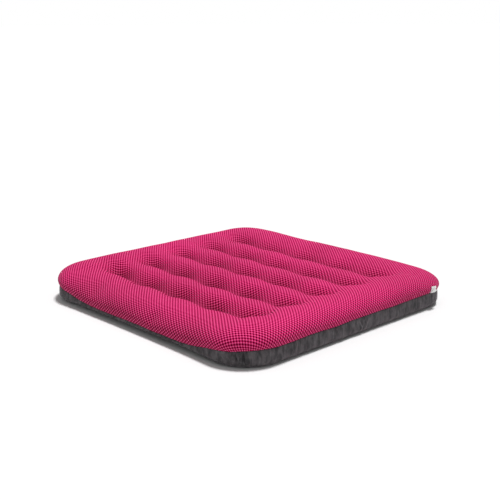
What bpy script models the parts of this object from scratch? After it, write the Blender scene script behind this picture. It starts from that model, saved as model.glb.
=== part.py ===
"""Tufted seat cushion: a quilted air-mesh top on a foam slab, in a zipped fabric case.

The cushion lies flat on Z = 0 with its centre over the origin. Its front edge is towards -Y and its
zip runs along the rear edge, towards +Y. Left (+X) and right (-X) are the sitter's. Lengths are in
metres.

The plan is a rectangle with round corners. It is described from an inner rectangle: a point of the
border has an anchor on the inner rectangle, a direction out of it and a reach along that direction.
At a reach of CORNER_RADIUS the point lies on the seam between the top and the side band.
"""

import math

import bmesh
import bpy
from mathutils import Vector

MM = 0.001

# Plan of the seam line
SEAM_WIDTH = 440 * MM
SEAM_DEPTH = 417 * MM
CORNER_RADIUS = 56 * MM
INNER_X = SEAM_WIDTH / 2 - CORNER_RADIUS
INNER_Y = SEAM_DEPTH / 2 - CORNER_RADIUS

# Heights
BAND_HEIGHT = 23 * MM
FRONT_DROP = 12 * MM
FRONT_LIFT = 6 * MM
FRONT_FLAT = 90 * MM
CREST_HEIGHT = 54 * MM
CLEARANCE = 0.3 * MM
SHARP_ANGLE = math.radians(40)

# Tufts: rows run across the cushion, from side to side
TUFTS_ACROSS = 5
TUFTS_DEEP = 5
PITCH_X = 72.6 * MM
PITCH_Y = 62.6 * MM
CELLS_PER_PITCH = 4
VALLEY_DEPTH = 10 * MM
DIMPLE_DEPTH = 15 * MM
DIMPLE_SHARPNESS = 1.5
FADE_LENGTH = 36 * MM

# Bolster: the round border of the top, an elliptic arc from its crest down to the seam
BORDER_STEPS = 5
BOLSTER_CREST_REACH = 20 * MM
BOLSTER_BULGE = 5 * MM

# Cloth and filling
COVER_THICKNESS = 2.5 * MM
BACKING_THICKNESS = 0.8 * MM
CASE_THICKNESS = 1.5 * MM
DECK_REACH = CORNER_RADIUS - 5 * MM
BOTTOM_REACH = CORNER_RADIUS - 7.3 * MM
FOAM_REACH = CORNER_RADIUS - 3 * MM
DECK_SINK = 0.4 * MM
FOAM_CHAMFER = 4 * MM
FOAM_SHOULDERS = (0.25, 0.75)
REAR_RECESS = 4 * MM
BAND_CURL = 7 * MM
BAND_CURL_HEIGHT = 5 * MM
BAND_CURL_STEPS = 3
LIFT_START = 20 * MM

# Tuft ties
TIE_SIDES = 6
HOLE_SIDES = 8
SHANK_RADIUS = 0.9 * MM
HOLE_RADIUS = 1.4 * MM
KNOT_RADIUS = 2.2 * MM
KNOT_THICKNESS = 0.6 * MM
KNOT_RISE = 0.8 * MM

# Heights of the layers, from the underside up
FOAM_BOTTOM = CASE_THICKNESS + CLEARANCE
DECK_HEIGHT = BAND_HEIGHT - DECK_SINK
KNOT_BOTTOM = DECK_HEIGHT + CLEARANCE
BACKING_BOTTOM = KNOT_BOTTOM + KNOT_THICKNESS + CLEARANCE
BACKING_TOP = BACKING_BOTTOM + BACKING_THICKNESS
FILL_BOTTOM = BACKING_TOP + CLEARANCE

# Zip, centred on the rear band
ZIP_HEIGHT = 12.5 * MM
REAR_FACE = SEAM_DEPTH / 2
TAPE_HALF_LENGTH = 149 * MM
TAPE_THICKNESS = 0.8 * MM
COIL_HALF_LENGTH = 144 * MM
COIL_INNER = 0.6 * MM
COIL_OUTER = 2.0 * MM
TAPE_OUTER = 7.0 * MM
COIL_BACK = REAR_FACE - 1.0 * MM
COIL_FRONT = REAR_FACE + 0.5 * MM
STOP_LENGTH = 2.6 * MM

SLIDER_LENGTH = 9 * MM
SLIDER_END_GAP = 0.5 * MM
SLIDER_HALF_WIDTH = 4.2 * MM
SLIDER_CENTRE = -COIL_HALF_LENGTH + SLIDER_LENGTH / 2 + SLIDER_END_GAP
SLIDER_PLATE_BACK = REAR_FACE + 1.0 * MM
SLIDER_PLATE_FRONT = REAR_FACE + 2.2 * MM
SLIDER_INNER_BACK = REAR_FACE - 3.0 * MM
SLIDER_INNER_FRONT = REAR_FACE - 1.8 * MM
SLIDER_WEB = 0.3 * MM
SLIDER_RIM = 0.9 * MM
SLIDER_RIM_BACK = REAR_FACE + 0.2 * MM
BRIDGE_HALF_LENGTH = 3.2 * MM
BRIDGE_POST = 1.2 * MM
BRIDGE_HALF_WIDTH = 0.7 * MM
BRIDGE_UNDERSIDE = REAR_FACE + 4.0 * MM
BRIDGE_TOP = REAR_FACE + 4.8 * MM
BRIDGE_ROOT = SLIDER_PLATE_FRONT - 0.4 * MM

PULL_AXIS = REAR_FACE + 3.1 * MM
PULL_LENGTH = 24 * MM
PULL_HALF_WIDTH = 2.9 * MM
PULL_NECK_HALF_WIDTH = 2.1 * MM
PULL_NECK_LENGTH = 7 * MM
PULL_FLARE = 2 * MM
PULL_CHAMFER = 1.5 * MM
PULL_THICKNESS = 1.0 * MM
PULL_PIN = 0.45 * MM
EYE_LENGTH = 4.5 * MM
EYE_HALF_WIDTH = 1.1 * MM

# Label: a folded tape that hangs from the seam at the rear left corner
LABEL_ANGLE = math.radians(8)
LABEL_WIDTH = 13 * MM
LABEL_ROOT_REACH = CORNER_RADIUS + 0.7 * MM
LABEL_ROOT_HEIGHT = BAND_HEIGHT + 0.2 * MM
LABEL_LEAN = 0.53
LABEL_LONG_PLY = 9.5 * MM
LABEL_SHORT_PLY = 5.5 * MM
LABEL_PLY = 0.7 * MM
LABEL_GAP = 0.5 * MM

# name: (base colour, roughness, metallic)
FINISHES = {
    "air_mesh": ((0.52, 0.035, 0.14), 0.75, 0.0),
    "case_fabric": ((0.055, 0.048, 0.05), 0.85, 0.0),
    "polyester_fill": ((0.86, 0.85, 0.82), 0.95, 0.0),
    "scrim": ((0.80, 0.79, 0.76), 0.9, 0.0),
    "thread": ((0.34, 0.02, 0.085), 0.7, 0.0),
    "foam": ((0.83, 0.78, 0.62), 0.95, 0.0),
    "zip_tape": ((0.045, 0.04, 0.042), 0.8, 0.0),
    "zip_coil": ((0.05, 0.045, 0.048), 0.4, 0.0),
    "zip_metal": ((0.16, 0.15, 0.15), 0.35, 1.0),
    "label": ((0.85, 0.85, 0.84), 0.7, 0.0),
}


# ---------------------------------------------------------------- scene and bodies

def clear_scene():
    for item in list(bpy.data.objects):
        bpy.data.objects.remove(item, do_unlink=True)


def make_materials():
    materials = {}
    for name, (colour, roughness, metallic) in FINISHES.items():
        material = bpy.data.materials.new(name)
        material.use_nodes = True
        shader = material.node_tree.nodes["Principled BSDF"]
        shader.inputs["Base Color"].default_value = (*colour, 1.0)
        shader.inputs["Roughness"].default_value = roughness
        shader.inputs["Metallic"].default_value = metallic
        materials[name] = material
    return materials


def add_object(name, body, material, smooth=False):
    """Turn a bmesh into a named object, with its faces pointing out."""
    bmesh.ops.recalc_face_normals(body, faces=body.faces[:])
    mesh = bpy.data.meshes.new(name)
    body.to_mesh(mesh)
    body.free()
    mesh.materials.append(material)
    if smooth:
        mesh.shade_smooth()
        mesh.set_sharp_from_angle(angle=SHARP_ANGLE)
    part = bpy.data.objects.new(name, mesh)
    bpy.context.scene.collection.objects.link(part)
    return part


def add_ring(body, points):
    return [body.verts.new(point) for point in points]


def bridge(body, first, second):
    """Join two rings of equal length with triangles."""
    count = len(first)
    for k in range(count):
        following = (k + 1) % count
        body.faces.new((first[k], first[following], second[following]))
        body.faces.new((first[k], second[following], second[k]))


def fill_flat(body, rings):
    """Fill the flat region between an outer ring and the hole rings in it."""
    edges = []
    for ring in rings:
        for k, vertex in enumerate(ring):
            following = ring[(k + 1) % len(ring)]
            edge = body.edges.get((vertex, following)) or body.edges.new((vertex, following))
            edges.append(edge)
    bmesh.ops.triangle_fill(body, use_beauty=True, use_dissolve=False, edges=edges)


# ---------------------------------------------------------------- plan

def inner_lines(half, pitch, count, cell_divisions):
    """Grid lines across the inner rectangle: through every tuft, between them and at the edges."""
    reach = pitch * (count - 1) / 2
    cells = (count - 1) * cell_divisions
    lines = [-reach + 2 * reach * k / cells for k in range(cells + 1)]
    return [-half] + lines + [half]


def plan_lines(inner, steps):
    """Each line is an anchor coordinate and its step into the border, negative on the low side."""
    low = [(inner[0], -step) for step in range(steps, 0, -1)]
    middle = [(value, 0) for value in inner]
    high = [(inner[-1], step) for step in range(1, steps + 1)]
    return low + middle + high


def station(line_x, line_y):
    """Anchor, unit direction and border step of a crossing of two lines."""
    anchor = Vector((line_x[0], line_y[0]))
    direction = Vector((line_x[1], line_y[1]))
    step = max(abs(line_x[1]), abs(line_y[1]))
    return anchor, direction.normalized(), step


def walk_border(lines_x, lines_y):
    """Grid keys of the outermost ring, counter-clockwise from the front right corner."""
    last_x = len(lines_x) - 1
    last_y = len(lines_y) - 1
    path = [(i, 0) for i in range(last_x)]
    path += [(last_x, j) for j in range(last_y)]
    path += [(i, last_y) for i in range(last_x, 0, -1)]
    path += [(0, j) for j in range(last_y, 0, -1)]
    return path


def smooth_step(value):
    value = min(max(value, 0.0), 1.0)
    return value * value * (3 - 2 * value)


def front_weight(anchor, direction):
    """1 along the front edge, fading to 0 round the front corners, and 0 elsewhere."""
    if anchor.y >= 0:
        return 0.0
    seam_x = abs(anchor.x + direction.x * CORNER_RADIUS)
    return 1 - smooth_step((seam_x - FRONT_FLAT) / (SEAM_WIDTH / 2 - FRONT_FLAT))


def drop_at(anchor, direction, reach):
    """How far the front of every upper layer slopes down."""
    return FRONT_DROP * front_weight(anchor, direction) * min(reach / CORNER_RADIUS, 1.0)


def lift_at(anchor, direction, reach):
    """How far the front of the underside curls up."""
    share = max(reach - LIFT_START, 0.0) / (CORNER_RADIUS - LIFT_START)
    return FRONT_LIFT * front_weight(anchor, direction) * share


def deck_ring(stations, reach, height):
    points = []
    for anchor, direction in stations:
        plan = anchor + direction * reach
        points.append((plan.x, plan.y, height - drop_at(anchor, direction, reach)))
    return points


def base_ring(stations, reach, height):
    points = []
    for anchor, direction in stations:
        plan = anchor + direction * reach
        points.append((plan.x, plan.y, height + lift_at(anchor, direction, reach)))
    return points


def inner_corner_ring(height):
    corners = ((-INNER_X, -INNER_Y), (INNER_X, -INNER_Y), (INNER_X, INNER_Y), (-INNER_X, INNER_Y))
    return [(x, y, height) for x, y in corners]


# ---------------------------------------------------------------- quilted top surface

def tuft_wave(value, pitch, count):
    """1 at each tuft line, 0 halfway between, and 0 beyond half a pitch outside the last one."""
    outer = pitch * (count - 1) / 2
    if abs(value) > outer + pitch / 2:
        return 0.0
    phase = value / pitch + (count - 1) / 2
    return math.cos(math.pi * phase) ** 2


def quilt_depth(x, y):
    """Depth of the valleys and dimples below the crests."""
    valley = tuft_wave(y, PITCH_Y, TUFTS_DEEP)
    outer = PITCH_X * (TUFTS_ACROSS - 1) / 2
    fade = 1 - smooth_step((abs(x) - outer) / FADE_LENGTH)
    dimple = valley * tuft_wave(x, PITCH_X, TUFTS_ACROSS)
    return VALLEY_DEPTH * valley * fade + DIMPLE_DEPTH * dimple ** DIMPLE_SHARPNESS


def bolster_profile():
    """Reach and height of each border step, from the crest to the seam."""
    seam_height = BAND_HEIGHT + CLEARANCE
    width = BOLSTER_BULGE + CORNER_RADIUS - BOLSTER_CREST_REACH
    seam_cosine = (CORNER_RADIUS - BOLSTER_CREST_REACH) / width
    seam_sine = -math.sqrt(1 - seam_cosine ** 2)
    rise = (CREST_HEIGHT - seam_height) / (1 - seam_sine)
    seam_angle = math.atan2(seam_sine, seam_cosine)
    profile = [(0.0, CREST_HEIGHT)]
    for step in range(BORDER_STEPS):
        angle = math.pi / 2 + (seam_angle - math.pi / 2) * step / (BORDER_STEPS - 1)
        reach = BOLSTER_CREST_REACH + width * math.cos(angle)
        profile.append((reach, CREST_HEIGHT - rise * (1 - math.sin(angle))))
    return profile


def top_point(line_x, line_y, profile):
    anchor, direction, step = station(line_x, line_y)
    reach, height = profile[step]
    plan = anchor + direction * reach
    height -= quilt_depth(plan.x, plan.y) + drop_at(anchor, direction, reach)
    return Vector((plan.x, plan.y, height))


def top_surface(lines_x, lines_y):
    """Points of the outer surface on the grid, and the offset of each that is 1 m deep."""
    profile = bolster_profile()
    sheet = bmesh.new()
    grid = {}
    for i, line_x in enumerate(lines_x):
        for j, line_y in enumerate(lines_y):
            grid[i, j] = sheet.verts.new(top_point(line_x, line_y, profile))
    for i in range(len(lines_x) - 1):
        for j in range(len(lines_y) - 1):
            for corners in grid_triangles(i, j):
                sheet.faces.new([grid[corner] for corner in corners])
    sheet.normal_update()
    points = {key: vertex.co.copy() for key, vertex in grid.items()}
    inward = {key: -vertex.normal * vertex.calc_shell_factor() for key, vertex in grid.items()}
    sheet.free()
    return points, inward


def grid_triangles(i, j):
    """Both triangles of a grid cell, with the diagonal turned in every other cell."""
    a, b, c, d = (i, j), (i + 1, j), (i + 1, j + 1), (i, j + 1)
    if (i + j) % 2:
        return (a, b, d), (b, c, d)
    return (a, b, c), (a, c, d)


def tuft_keys(lines_x, lines_y):
    """Grid crossings that carry a tuft, row by row from the front right."""
    columns = [i for i, line in enumerate(lines_x) if line[1] == 0][1:-1:CELLS_PER_PITCH]
    rows = [j for j, line in enumerate(lines_y) if line[1] == 0][1:-1:CELLS_PER_PITCH]
    return [(i, j) for j in rows for i in columns]


def hole_ring(centre, height):
    points = []
    for k in range(HOLE_SIDES):
        angle = 2 * math.pi * k / HOLE_SIDES
        x = centre.x + HOLE_RADIUS * math.cos(angle)
        y = centre.y + HOLE_RADIUS * math.sin(angle)
        points.append((x, y, height))
    return points


def add_quilt_sheet(body, surface, depth, tufts, margin):
    """One side of a quilted layer, with a hole at each tuft. margin leaves outer grid lines off."""
    points, inward = surface
    last_i = max(key[0] for key in points) - margin
    last_j = max(key[1] for key in points) - margin
    grid = {}
    for key in points:
        inside = margin <= key[0] <= last_i and margin <= key[1] <= last_j
        if inside and key not in tufts:
            grid[key] = body.verts.new(points[key] + inward[key] * depth)
    for i in range(margin, last_i):
        for j in range(margin, last_j):
            if any(corner in tufts for corner in ((i, j), (i + 1, j), (i + 1, j + 1), (i, j + 1))):
                continue
            for corners in grid_triangles(i, j):
                body.faces.new([grid[corner] for corner in corners])
    rings = []
    for i, j in tufts:
        around = ((1, 0), (1, 1), (0, 1), (-1, 1), (-1, 0), (-1, -1), (0, -1), (1, -1))
        outside = [grid[i + di, j + dj] for di, dj in around]
        ring = add_ring(body, hole_ring(points[i, j], points[i, j].z - depth))
        bridge(body, ring, outside)
        rings.append(ring)
    return grid, rings


# ---------------------------------------------------------------- cloth and filling

def make_top_cover(surface, border_path, tufts, material):
    body = bmesh.new()
    outer, outer_holes = add_quilt_sheet(body, surface, 0.0, tufts, 0)
    inner, inner_holes = add_quilt_sheet(body, surface, COVER_THICKNESS, tufts, 0)
    bridge(body, [outer[key] for key in border_path], [inner[key] for key in border_path])
    for outer_ring, inner_ring in zip(outer_holes, inner_holes):
        bridge(body, outer_ring, inner_ring)
    return add_object("top_cover", body, material, smooth=True)


def make_quilt_fill(surface, lines_x, lines_y, tufts, material):
    """Fibre between the mesh and its backing. It ends one border step short of the seam."""
    body = bmesh.new()
    depth = COVER_THICKNESS + CLEARANCE
    top, top_holes = add_quilt_sheet(body, surface, depth, tufts, 1)
    path = [(i + 1, j + 1) for i, j in walk_border(lines_x[1:-1], lines_y[1:-1])]
    stations = [station(lines_x[i], lines_y[j])[:2] for i, j in path]
    lower = add_ring(body, deck_ring(stations, DECK_REACH, FILL_BOTTOM))
    inner = add_ring(body, inner_corner_ring(FILL_BOTTOM))
    bridge(body, [top[key] for key in path], lower)
    add_border_fan(body, stations, lower, inner)
    points = surface[0]
    low_holes = [add_ring(body, hole_ring(points[key], FILL_BOTTOM)) for key in tufts]
    fill_flat(body, [inner] + low_holes)
    for top_ring, low_ring in zip(top_holes, low_holes):
        bridge(body, top_ring, low_ring)
    return add_object("quilt_fill", body, material, smooth=True)


def add_border_fan(body, stations, outer, corners):
    """Join an outer ring to the four corners of the inner rectangle, one fan for each stretch."""
    signs = [(-1, -1), (1, -1), (1, 1), (-1, 1)]
    count = len(outer)
    for k in range(count):
        following = (k + 1) % count
        here = owner(stations[k], signs)
        there = owner(stations[following], signs)
        body.faces.new((outer[k], outer[following], corners[there]))
        if here != there:
            body.faces.new((outer[k], corners[there], corners[here]))


def owner(one_station, signs):
    """Index of the inner rectangle's corner that a border station belongs to."""
    anchor = one_station[0]
    return signs.index((1 if anchor.x > 0 else -1, 1 if anchor.y > 0 else -1))


def make_quilt_backing(stations, tuft_points, material):
    body = bmesh.new()
    sides = []
    for height in (BACKING_BOTTOM, BACKING_TOP):
        outer = add_ring(body, deck_ring(stations, DECK_REACH, height))
        inner = add_ring(body, inner_corner_ring(height))
        holes = [add_ring(body, hole_ring(point, height)) for point in tuft_points]
        add_border_fan(body, stations, outer, inner)
        fill_flat(body, [inner] + holes)
        sides.append([outer] + holes)
    for low_ring, high_ring in zip(*sides):
        bridge(body, low_ring, high_ring)
    return add_object("quilt_backing", body, material)


def make_tuft_tie(name, centre, material):
    """A thread through the quilt, with a knot under the backing and a tack in the dimple."""
    low = KNOT_BOTTOM
    high = centre.z + KNOT_RISE
    profile = (
        (KNOT_RADIUS, low),
        (KNOT_RADIUS, low + KNOT_THICKNESS),
        (SHANK_RADIUS, low + KNOT_THICKNESS),
        (SHANK_RADIUS, high),
        (KNOT_RADIUS, high),
        (KNOT_RADIUS, high + KNOT_THICKNESS),
    )
    body = bmesh.new()
    rings = []
    for radius, height in profile:
        points = []
        for k in range(TIE_SIDES):
            angle = 2 * math.pi * k / TIE_SIDES
            points.append((centre.x + radius * math.cos(angle), centre.y + radius * math.sin(angle), height))
        rings.append(add_ring(body, points))
    for lower, upper in zip(rings, rings[1:]):
        bridge(body, lower, upper)
    body.faces.new(rings[0])
    body.faces.new(rings[-1])
    return add_object(name, body, material, smooth=True)


def recessed(stations, reach):
    """Stations of the foam, with the reach shortened towards the rear to leave room for the zip."""
    result = []
    for anchor, direction in stations:
        result.append((anchor, direction, reach - REAR_RECESS * max(direction.y, 0.0)))
    return result


def foam_ring(stations, reach, share):
    """A ring on the foam's outside at a share of its local thickness."""
    points = []
    for anchor, direction, real_reach in recessed(stations, reach):
        plan = anchor + direction * real_reach
        low = FOAM_BOTTOM + lift_at(anchor, direction, reach)
        high = DECK_HEIGHT - drop_at(anchor, direction, reach)
        points.append((plan.x, plan.y, low + (high - low) * share))
    return points


def make_foam_core(stations, material):
    body = bmesh.new()
    shoulder = FOAM_REACH - FOAM_CHAMFER
    base_inner = add_ring(body, inner_corner_ring(FOAM_BOTTOM))
    deck_inner = add_ring(body, inner_corner_ring(DECK_HEIGHT))
    rings = [
        add_ring(body, base_ring(stations, LIFT_START, FOAM_BOTTOM)),
        add_ring(body, foam_ring(stations, shoulder, 0.0)),
        add_ring(body, foam_ring(stations, FOAM_REACH, FOAM_SHOULDERS[0])),
        add_ring(body, foam_ring(stations, FOAM_REACH, FOAM_SHOULDERS[1])),
        add_ring(body, foam_ring(stations, shoulder, 1.0)),
    ]
    for lower, upper in zip(rings, rings[1:]):
        bridge(body, lower, upper)
    add_border_fan(body, stations, rings[0], base_inner)
    add_border_fan(body, stations, rings[-1], deck_inner)
    fill_flat(body, [base_inner])
    fill_flat(body, [deck_inner])
    return add_object("foam_core", body, material)


def make_bottom_cover(stations, material):
    body = bmesh.new()
    sides = []
    for height in (0.0, CASE_THICKNESS):
        inner = add_ring(body, inner_corner_ring(height))
        middle = add_ring(body, base_ring(stations, LIFT_START, height))
        outer = add_ring(body, base_ring(stations, BOTTOM_REACH, height))
        fill_flat(body, [inner])
        add_border_fan(body, stations, middle, inner)
        bridge(body, middle, outer)
        sides.append(outer)
    bridge(body, sides[0], sides[1])
    return add_object("bottom_cover", body, material)


# ---------------------------------------------------------------- side band

def band_section():
    """Reach and height share of the band's outline: up the outside and back down the inside."""
    root = CORNER_RADIUS - BAND_CURL
    rise = BAND_CURL_HEIGHT - CLEARANCE
    outside = []
    inside = []
    for k in range(BAND_CURL_STEPS + 1):
        angle = math.pi / 2 * k / BAND_CURL_STEPS
        outward = math.sin(angle)
        downward = math.cos(angle)
        outside.append((root + BAND_CURL * outward, BAND_CURL_HEIGHT - rise * downward))
        inner_reach = root + (BAND_CURL - CASE_THICKNESS) * outward
        inside.append((inner_reach, BAND_CURL_HEIGHT - (rise - CASE_THICKNESS) * downward))
    outside.append((CORNER_RADIUS, BAND_HEIGHT))
    inside.append((CORNER_RADIUS - CASE_THICKNESS, BAND_HEIGHT))
    return outside + inside[::-1]


def band_points(anchor, direction, section):
    """The band's section at one station, squeezed between the lifted base and the dropped seam."""
    points = []
    squeeze = 1 - front_weight(anchor, direction) * (FRONT_DROP + FRONT_LIFT) / BAND_HEIGHT
    for reach, height in section:
        plan = anchor + direction * reach
        lift = lift_at(anchor, direction, reach)
        points.append((plan.x, plan.y, lift + height * squeeze))
    return points


def make_side_band(stations, material):
    """The band round the front, the sides and the corners, open along the rear edge."""
    rear_right = max(k for k, one in enumerate(stations) if one[0].x > 0 and one[1].x > 0) + 1
    rear_left = min(k for k, one in enumerate(stations) if one[0].y > 0 and one[1].x < 0) - 1
    order = stations[rear_left:] + stations[:rear_right + 1]
    section = band_section()
    body = bmesh.new()
    loops = [add_ring(body, band_points(anchor, direction, section)) for anchor, direction in order]
    for first, second in zip(loops, loops[1:]):
        bridge(body, first, second)
    body.faces.new(loops[0])
    body.faces.new(loops[-1])
    return add_object("side_band", body, material, smooth=True)


def make_rear_strip(name, section, material):
    """A straight strip of the rear band, drawn through a section of (reach, height) points."""
    half = INNER_X - CLEARANCE
    body = bmesh.new()
    ends = []
    for x in (-half, half):
        ends.append(add_ring(body, [(x, INNER_Y + reach, height) for reach, height in section]))
    bridge(body, ends[0], ends[1])
    body.faces.new(ends[0])
    body.faces.new(ends[1])
    return add_object(name, body, material, smooth=True)


def make_rear_bands(material):
    gap = TAPE_OUTER + CLEARANCE
    upper_low = ZIP_HEIGHT + gap
    upper = (
        (CORNER_RADIUS, upper_low),
        (CORNER_RADIUS, BAND_HEIGHT),
        (CORNER_RADIUS - CASE_THICKNESS, BAND_HEIGHT),
        (CORNER_RADIUS - CASE_THICKNESS, upper_low),
    )
    lower = [point for point in band_section() if point[1] < BAND_HEIGHT]
    lower_top = ZIP_HEIGHT - gap
    middle = len(lower) // 2
    lower.insert(middle, (CORNER_RADIUS, lower_top))
    lower.insert(middle + 1, (CORNER_RADIUS - CASE_THICKNESS, lower_top))
    make_rear_strip("rear_band_upper", upper, material)
    make_rear_strip("rear_band_lower", lower, material)


# ---------------------------------------------------------------- zip

def add_box(body, low, high):
    x0, y0, z0 = low
    x1, y1, z1 = high
    floor = add_ring(body, [(x0, y0, z0), (x1, y0, z0), (x1, y1, z0), (x0, y1, z0)])
    roof = add_ring(body, [(x0, y0, z1), (x1, y0, z1), (x1, y1, z1), (x0, y1, z1)])
    bridge(body, floor, roof)
    body.faces.new(floor)
    body.faces.new(roof)


def make_box(name, low, high, material):
    body = bmesh.new()
    add_box(body, low, high)
    return add_object(name, body, material)


def make_zip_halves(materials):
    """Tape, coil and top stop on each side of the zip's centre line."""
    for side, sign in (("upper", 1), ("lower", -1)):
        coil = sorted((ZIP_HEIGHT + sign * COIL_INNER, ZIP_HEIGHT + sign * COIL_OUTER))
        tape = sorted((ZIP_HEIGHT + sign * (COIL_OUTER + CLEARANCE), ZIP_HEIGHT + sign * TAPE_OUTER))
        make_box(
            "zip_tape_" + side,
            (-TAPE_HALF_LENGTH, COIL_BACK - CLEARANCE, tape[0]),
            (TAPE_HALF_LENGTH, COIL_BACK - CLEARANCE + TAPE_THICKNESS, tape[1]),
            materials["zip_tape"],
        )
        make_box(
            "zip_coil_" + side,
            (-COIL_HALF_LENGTH, COIL_BACK, coil[0]),
            (COIL_HALF_LENGTH, COIL_FRONT, coil[1]),
            materials["zip_coil"],
        )
        stop_end = -COIL_HALF_LENGTH - CLEARANCE
        make_box(
            "zip_top_stop_" + side,
            (stop_end - STOP_LENGTH, COIL_BACK, coil[0]),
            (stop_end, COIL_FRONT + CLEARANCE, coil[1]),
            materials["zip_metal"],
        )


def make_zip_bottom_stop(material):
    start = COIL_HALF_LENGTH + CLEARANCE
    low = (start, COIL_BACK, ZIP_HEIGHT - COIL_OUTER)
    high = (start + STOP_LENGTH, COIL_FRONT + CLEARANCE, ZIP_HEIGHT + COIL_OUTER)
    return make_box("zip_bottom_stop", low, high, material)


def make_zip_end_tabs(material):
    """Tabs of case fabric that close the band past each end of the tapes."""
    inner = TAPE_HALF_LENGTH + CLEARANCE
    outer = INNER_X - CLEARANCE
    for side, sign in (("left", 1), ("right", -1)):
        ends = sorted((sign * inner, sign * outer))
        low = (ends[0], REAR_FACE - CASE_THICKNESS, ZIP_HEIGHT - TAPE_OUTER)
        high = (ends[1], REAR_FACE, ZIP_HEIGHT + TAPE_OUTER)
        make_box("zip_end_tab_" + side, low, high, material)


def slider_section():
    """Outline across the slider: the inner plate, the web and the outer plate with its rims."""
    width = SLIDER_HALF_WIDTH
    rim = width - SLIDER_RIM
    half = (
        (SLIDER_WEB, SLIDER_INNER_FRONT),
        (SLIDER_WEB, SLIDER_PLATE_BACK),
        (rim, SLIDER_PLATE_BACK),
        (rim, SLIDER_RIM_BACK),
        (width, SLIDER_RIM_BACK),
        (width, SLIDER_PLATE_FRONT),
    )
    inner_plate = ((width, SLIDER_INNER_BACK), (width, SLIDER_INNER_FRONT))
    right = inner_plate + half
    left = [(-z, y) for z, y in reversed(right)]
    return list(right) + left


def make_zip_slider(material):
    """The slider runs along X over both coils. A bridge on its outer plate holds the pull."""
    body = bmesh.new()
    half = SLIDER_LENGTH / 2
    ends = []
    for x in (SLIDER_CENTRE - half, SLIDER_CENTRE + half):
        ends.append(add_ring(body, [(x, y, ZIP_HEIGHT + z) for z, y in slider_section()]))
    bridge(body, ends[0], ends[1])
    body.faces.new(ends[0])
    body.faces.new(ends[1])
    slider = add_object("zip_slider", body, material)
    crown = make_bridge(material)
    union = slider.modifiers.new("bridge", "BOOLEAN")
    union.operation = "UNION"
    union.solver = "EXACT"
    union.object = crown
    return slider


def make_bridge(material):
    """The slider's bridge, a low arch along X. It is only a tool body for the union."""
    outer = BRIDGE_HALF_LENGTH
    inner = BRIDGE_HALF_LENGTH - BRIDGE_POST
    outline = (
        (-outer, BRIDGE_ROOT),
        (-inner, BRIDGE_ROOT),
        (-inner, BRIDGE_UNDERSIDE),
        (inner, BRIDGE_UNDERSIDE),
        (inner, BRIDGE_ROOT),
        (outer, BRIDGE_ROOT),
        (outer, BRIDGE_TOP),
        (-outer, BRIDGE_TOP),
    )
    body = bmesh.new()
    sides = []
    for z in (-BRIDGE_HALF_WIDTH, BRIDGE_HALF_WIDTH):
        sides.append(add_ring(body, [(SLIDER_CENTRE + x, y, ZIP_HEIGHT + z) for x, y in outline]))
    bridge(body, sides[0], sides[1])
    body.faces.new(sides[0])
    body.faces.new(sides[1])
    crown = add_object("bridge_tool", body, material)
    crown.hide_render = True
    crown.display_type = "WIRE"
    return crown


def make_zip_pull(material):
    """The pull's eye goes round the bridge. Its origin lies on the hinge axis, which is vertical."""
    outer_outline = (
        (-PULL_PIN, -PULL_NECK_HALF_WIDTH),
        (PULL_NECK_LENGTH, -PULL_NECK_HALF_WIDTH),
        (PULL_NECK_LENGTH + PULL_FLARE, -PULL_HALF_WIDTH),
        (PULL_LENGTH - PULL_CHAMFER, -PULL_HALF_WIDTH),
        (PULL_LENGTH, -PULL_HALF_WIDTH + PULL_CHAMFER),
        (PULL_LENGTH, PULL_HALF_WIDTH - PULL_CHAMFER),
        (PULL_LENGTH - PULL_CHAMFER, PULL_HALF_WIDTH),
        (PULL_NECK_LENGTH + PULL_FLARE, PULL_HALF_WIDTH),
        (PULL_NECK_LENGTH, PULL_NECK_HALF_WIDTH),
        (-PULL_PIN, PULL_NECK_HALF_WIDTH),
    )
    eye_outline = (
        (PULL_PIN, -EYE_HALF_WIDTH),
        (EYE_LENGTH, -EYE_HALF_WIDTH),
        (EYE_LENGTH, EYE_HALF_WIDTH),
        (PULL_PIN, EYE_HALF_WIDTH),
    )
    body = bmesh.new()
    faces = []
    for y in (-PULL_THICKNESS / 2, PULL_THICKNESS / 2):
        outer = add_ring(body, [(x, y, z) for x, z in outer_outline])
        eye = add_ring(body, [(x, y, z) for x, z in eye_outline])
        fill_flat(body, [outer, eye])
        faces.append((outer, eye))
    for back, front in zip(*faces):
        bridge(body, back, front)
    pull = add_object("zip_pull", body, material)
    pull.location = (SLIDER_CENTRE, PULL_AXIS, ZIP_HEIGHT)
    return pull


# ---------------------------------------------------------------- label

def label_section():
    """Outline of the folded tape: a long ply against the bolster and a short ply outside it."""
    outer = LABEL_PLY + LABEL_GAP
    outline = (
        (0.0, 0.0),
        (0.0, LABEL_LONG_PLY),
        (LABEL_PLY, LABEL_LONG_PLY),
        (LABEL_PLY, LABEL_PLY),
        (outer, LABEL_PLY),
        (outer, LABEL_SHORT_PLY),
        (outer + LABEL_PLY, LABEL_SHORT_PLY),
        (outer + LABEL_PLY, 0.0),
    )
    points = []
    for offset, rise in outline:
        reach = LABEL_ROOT_REACH + offset + LABEL_LEAN * rise
        points.append((reach, LABEL_ROOT_HEIGHT + rise))
    return points


def make_label(material):
    """A tape folded at the seam, whose two plies stand up against the bolster."""
    direction = Vector((math.cos(LABEL_ANGLE), math.sin(LABEL_ANGLE)))
    sideways = Vector((-direction.y, direction.x))
    anchor = Vector((INNER_X, INNER_Y))
    section = label_section()
    body = bmesh.new()
    ends = []
    for across in (-LABEL_WIDTH / 2, LABEL_WIDTH / 2):
        points = []
        for reach, height in section:
            plan = anchor + direction * reach + sideways * across
            points.append((plan.x, plan.y, height))
        ends.append(add_ring(body, points))
    bridge(body, ends[0], ends[1])
    for end in ends:
        fill_flat(body, [end])
    return add_object("label", body, material)


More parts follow.
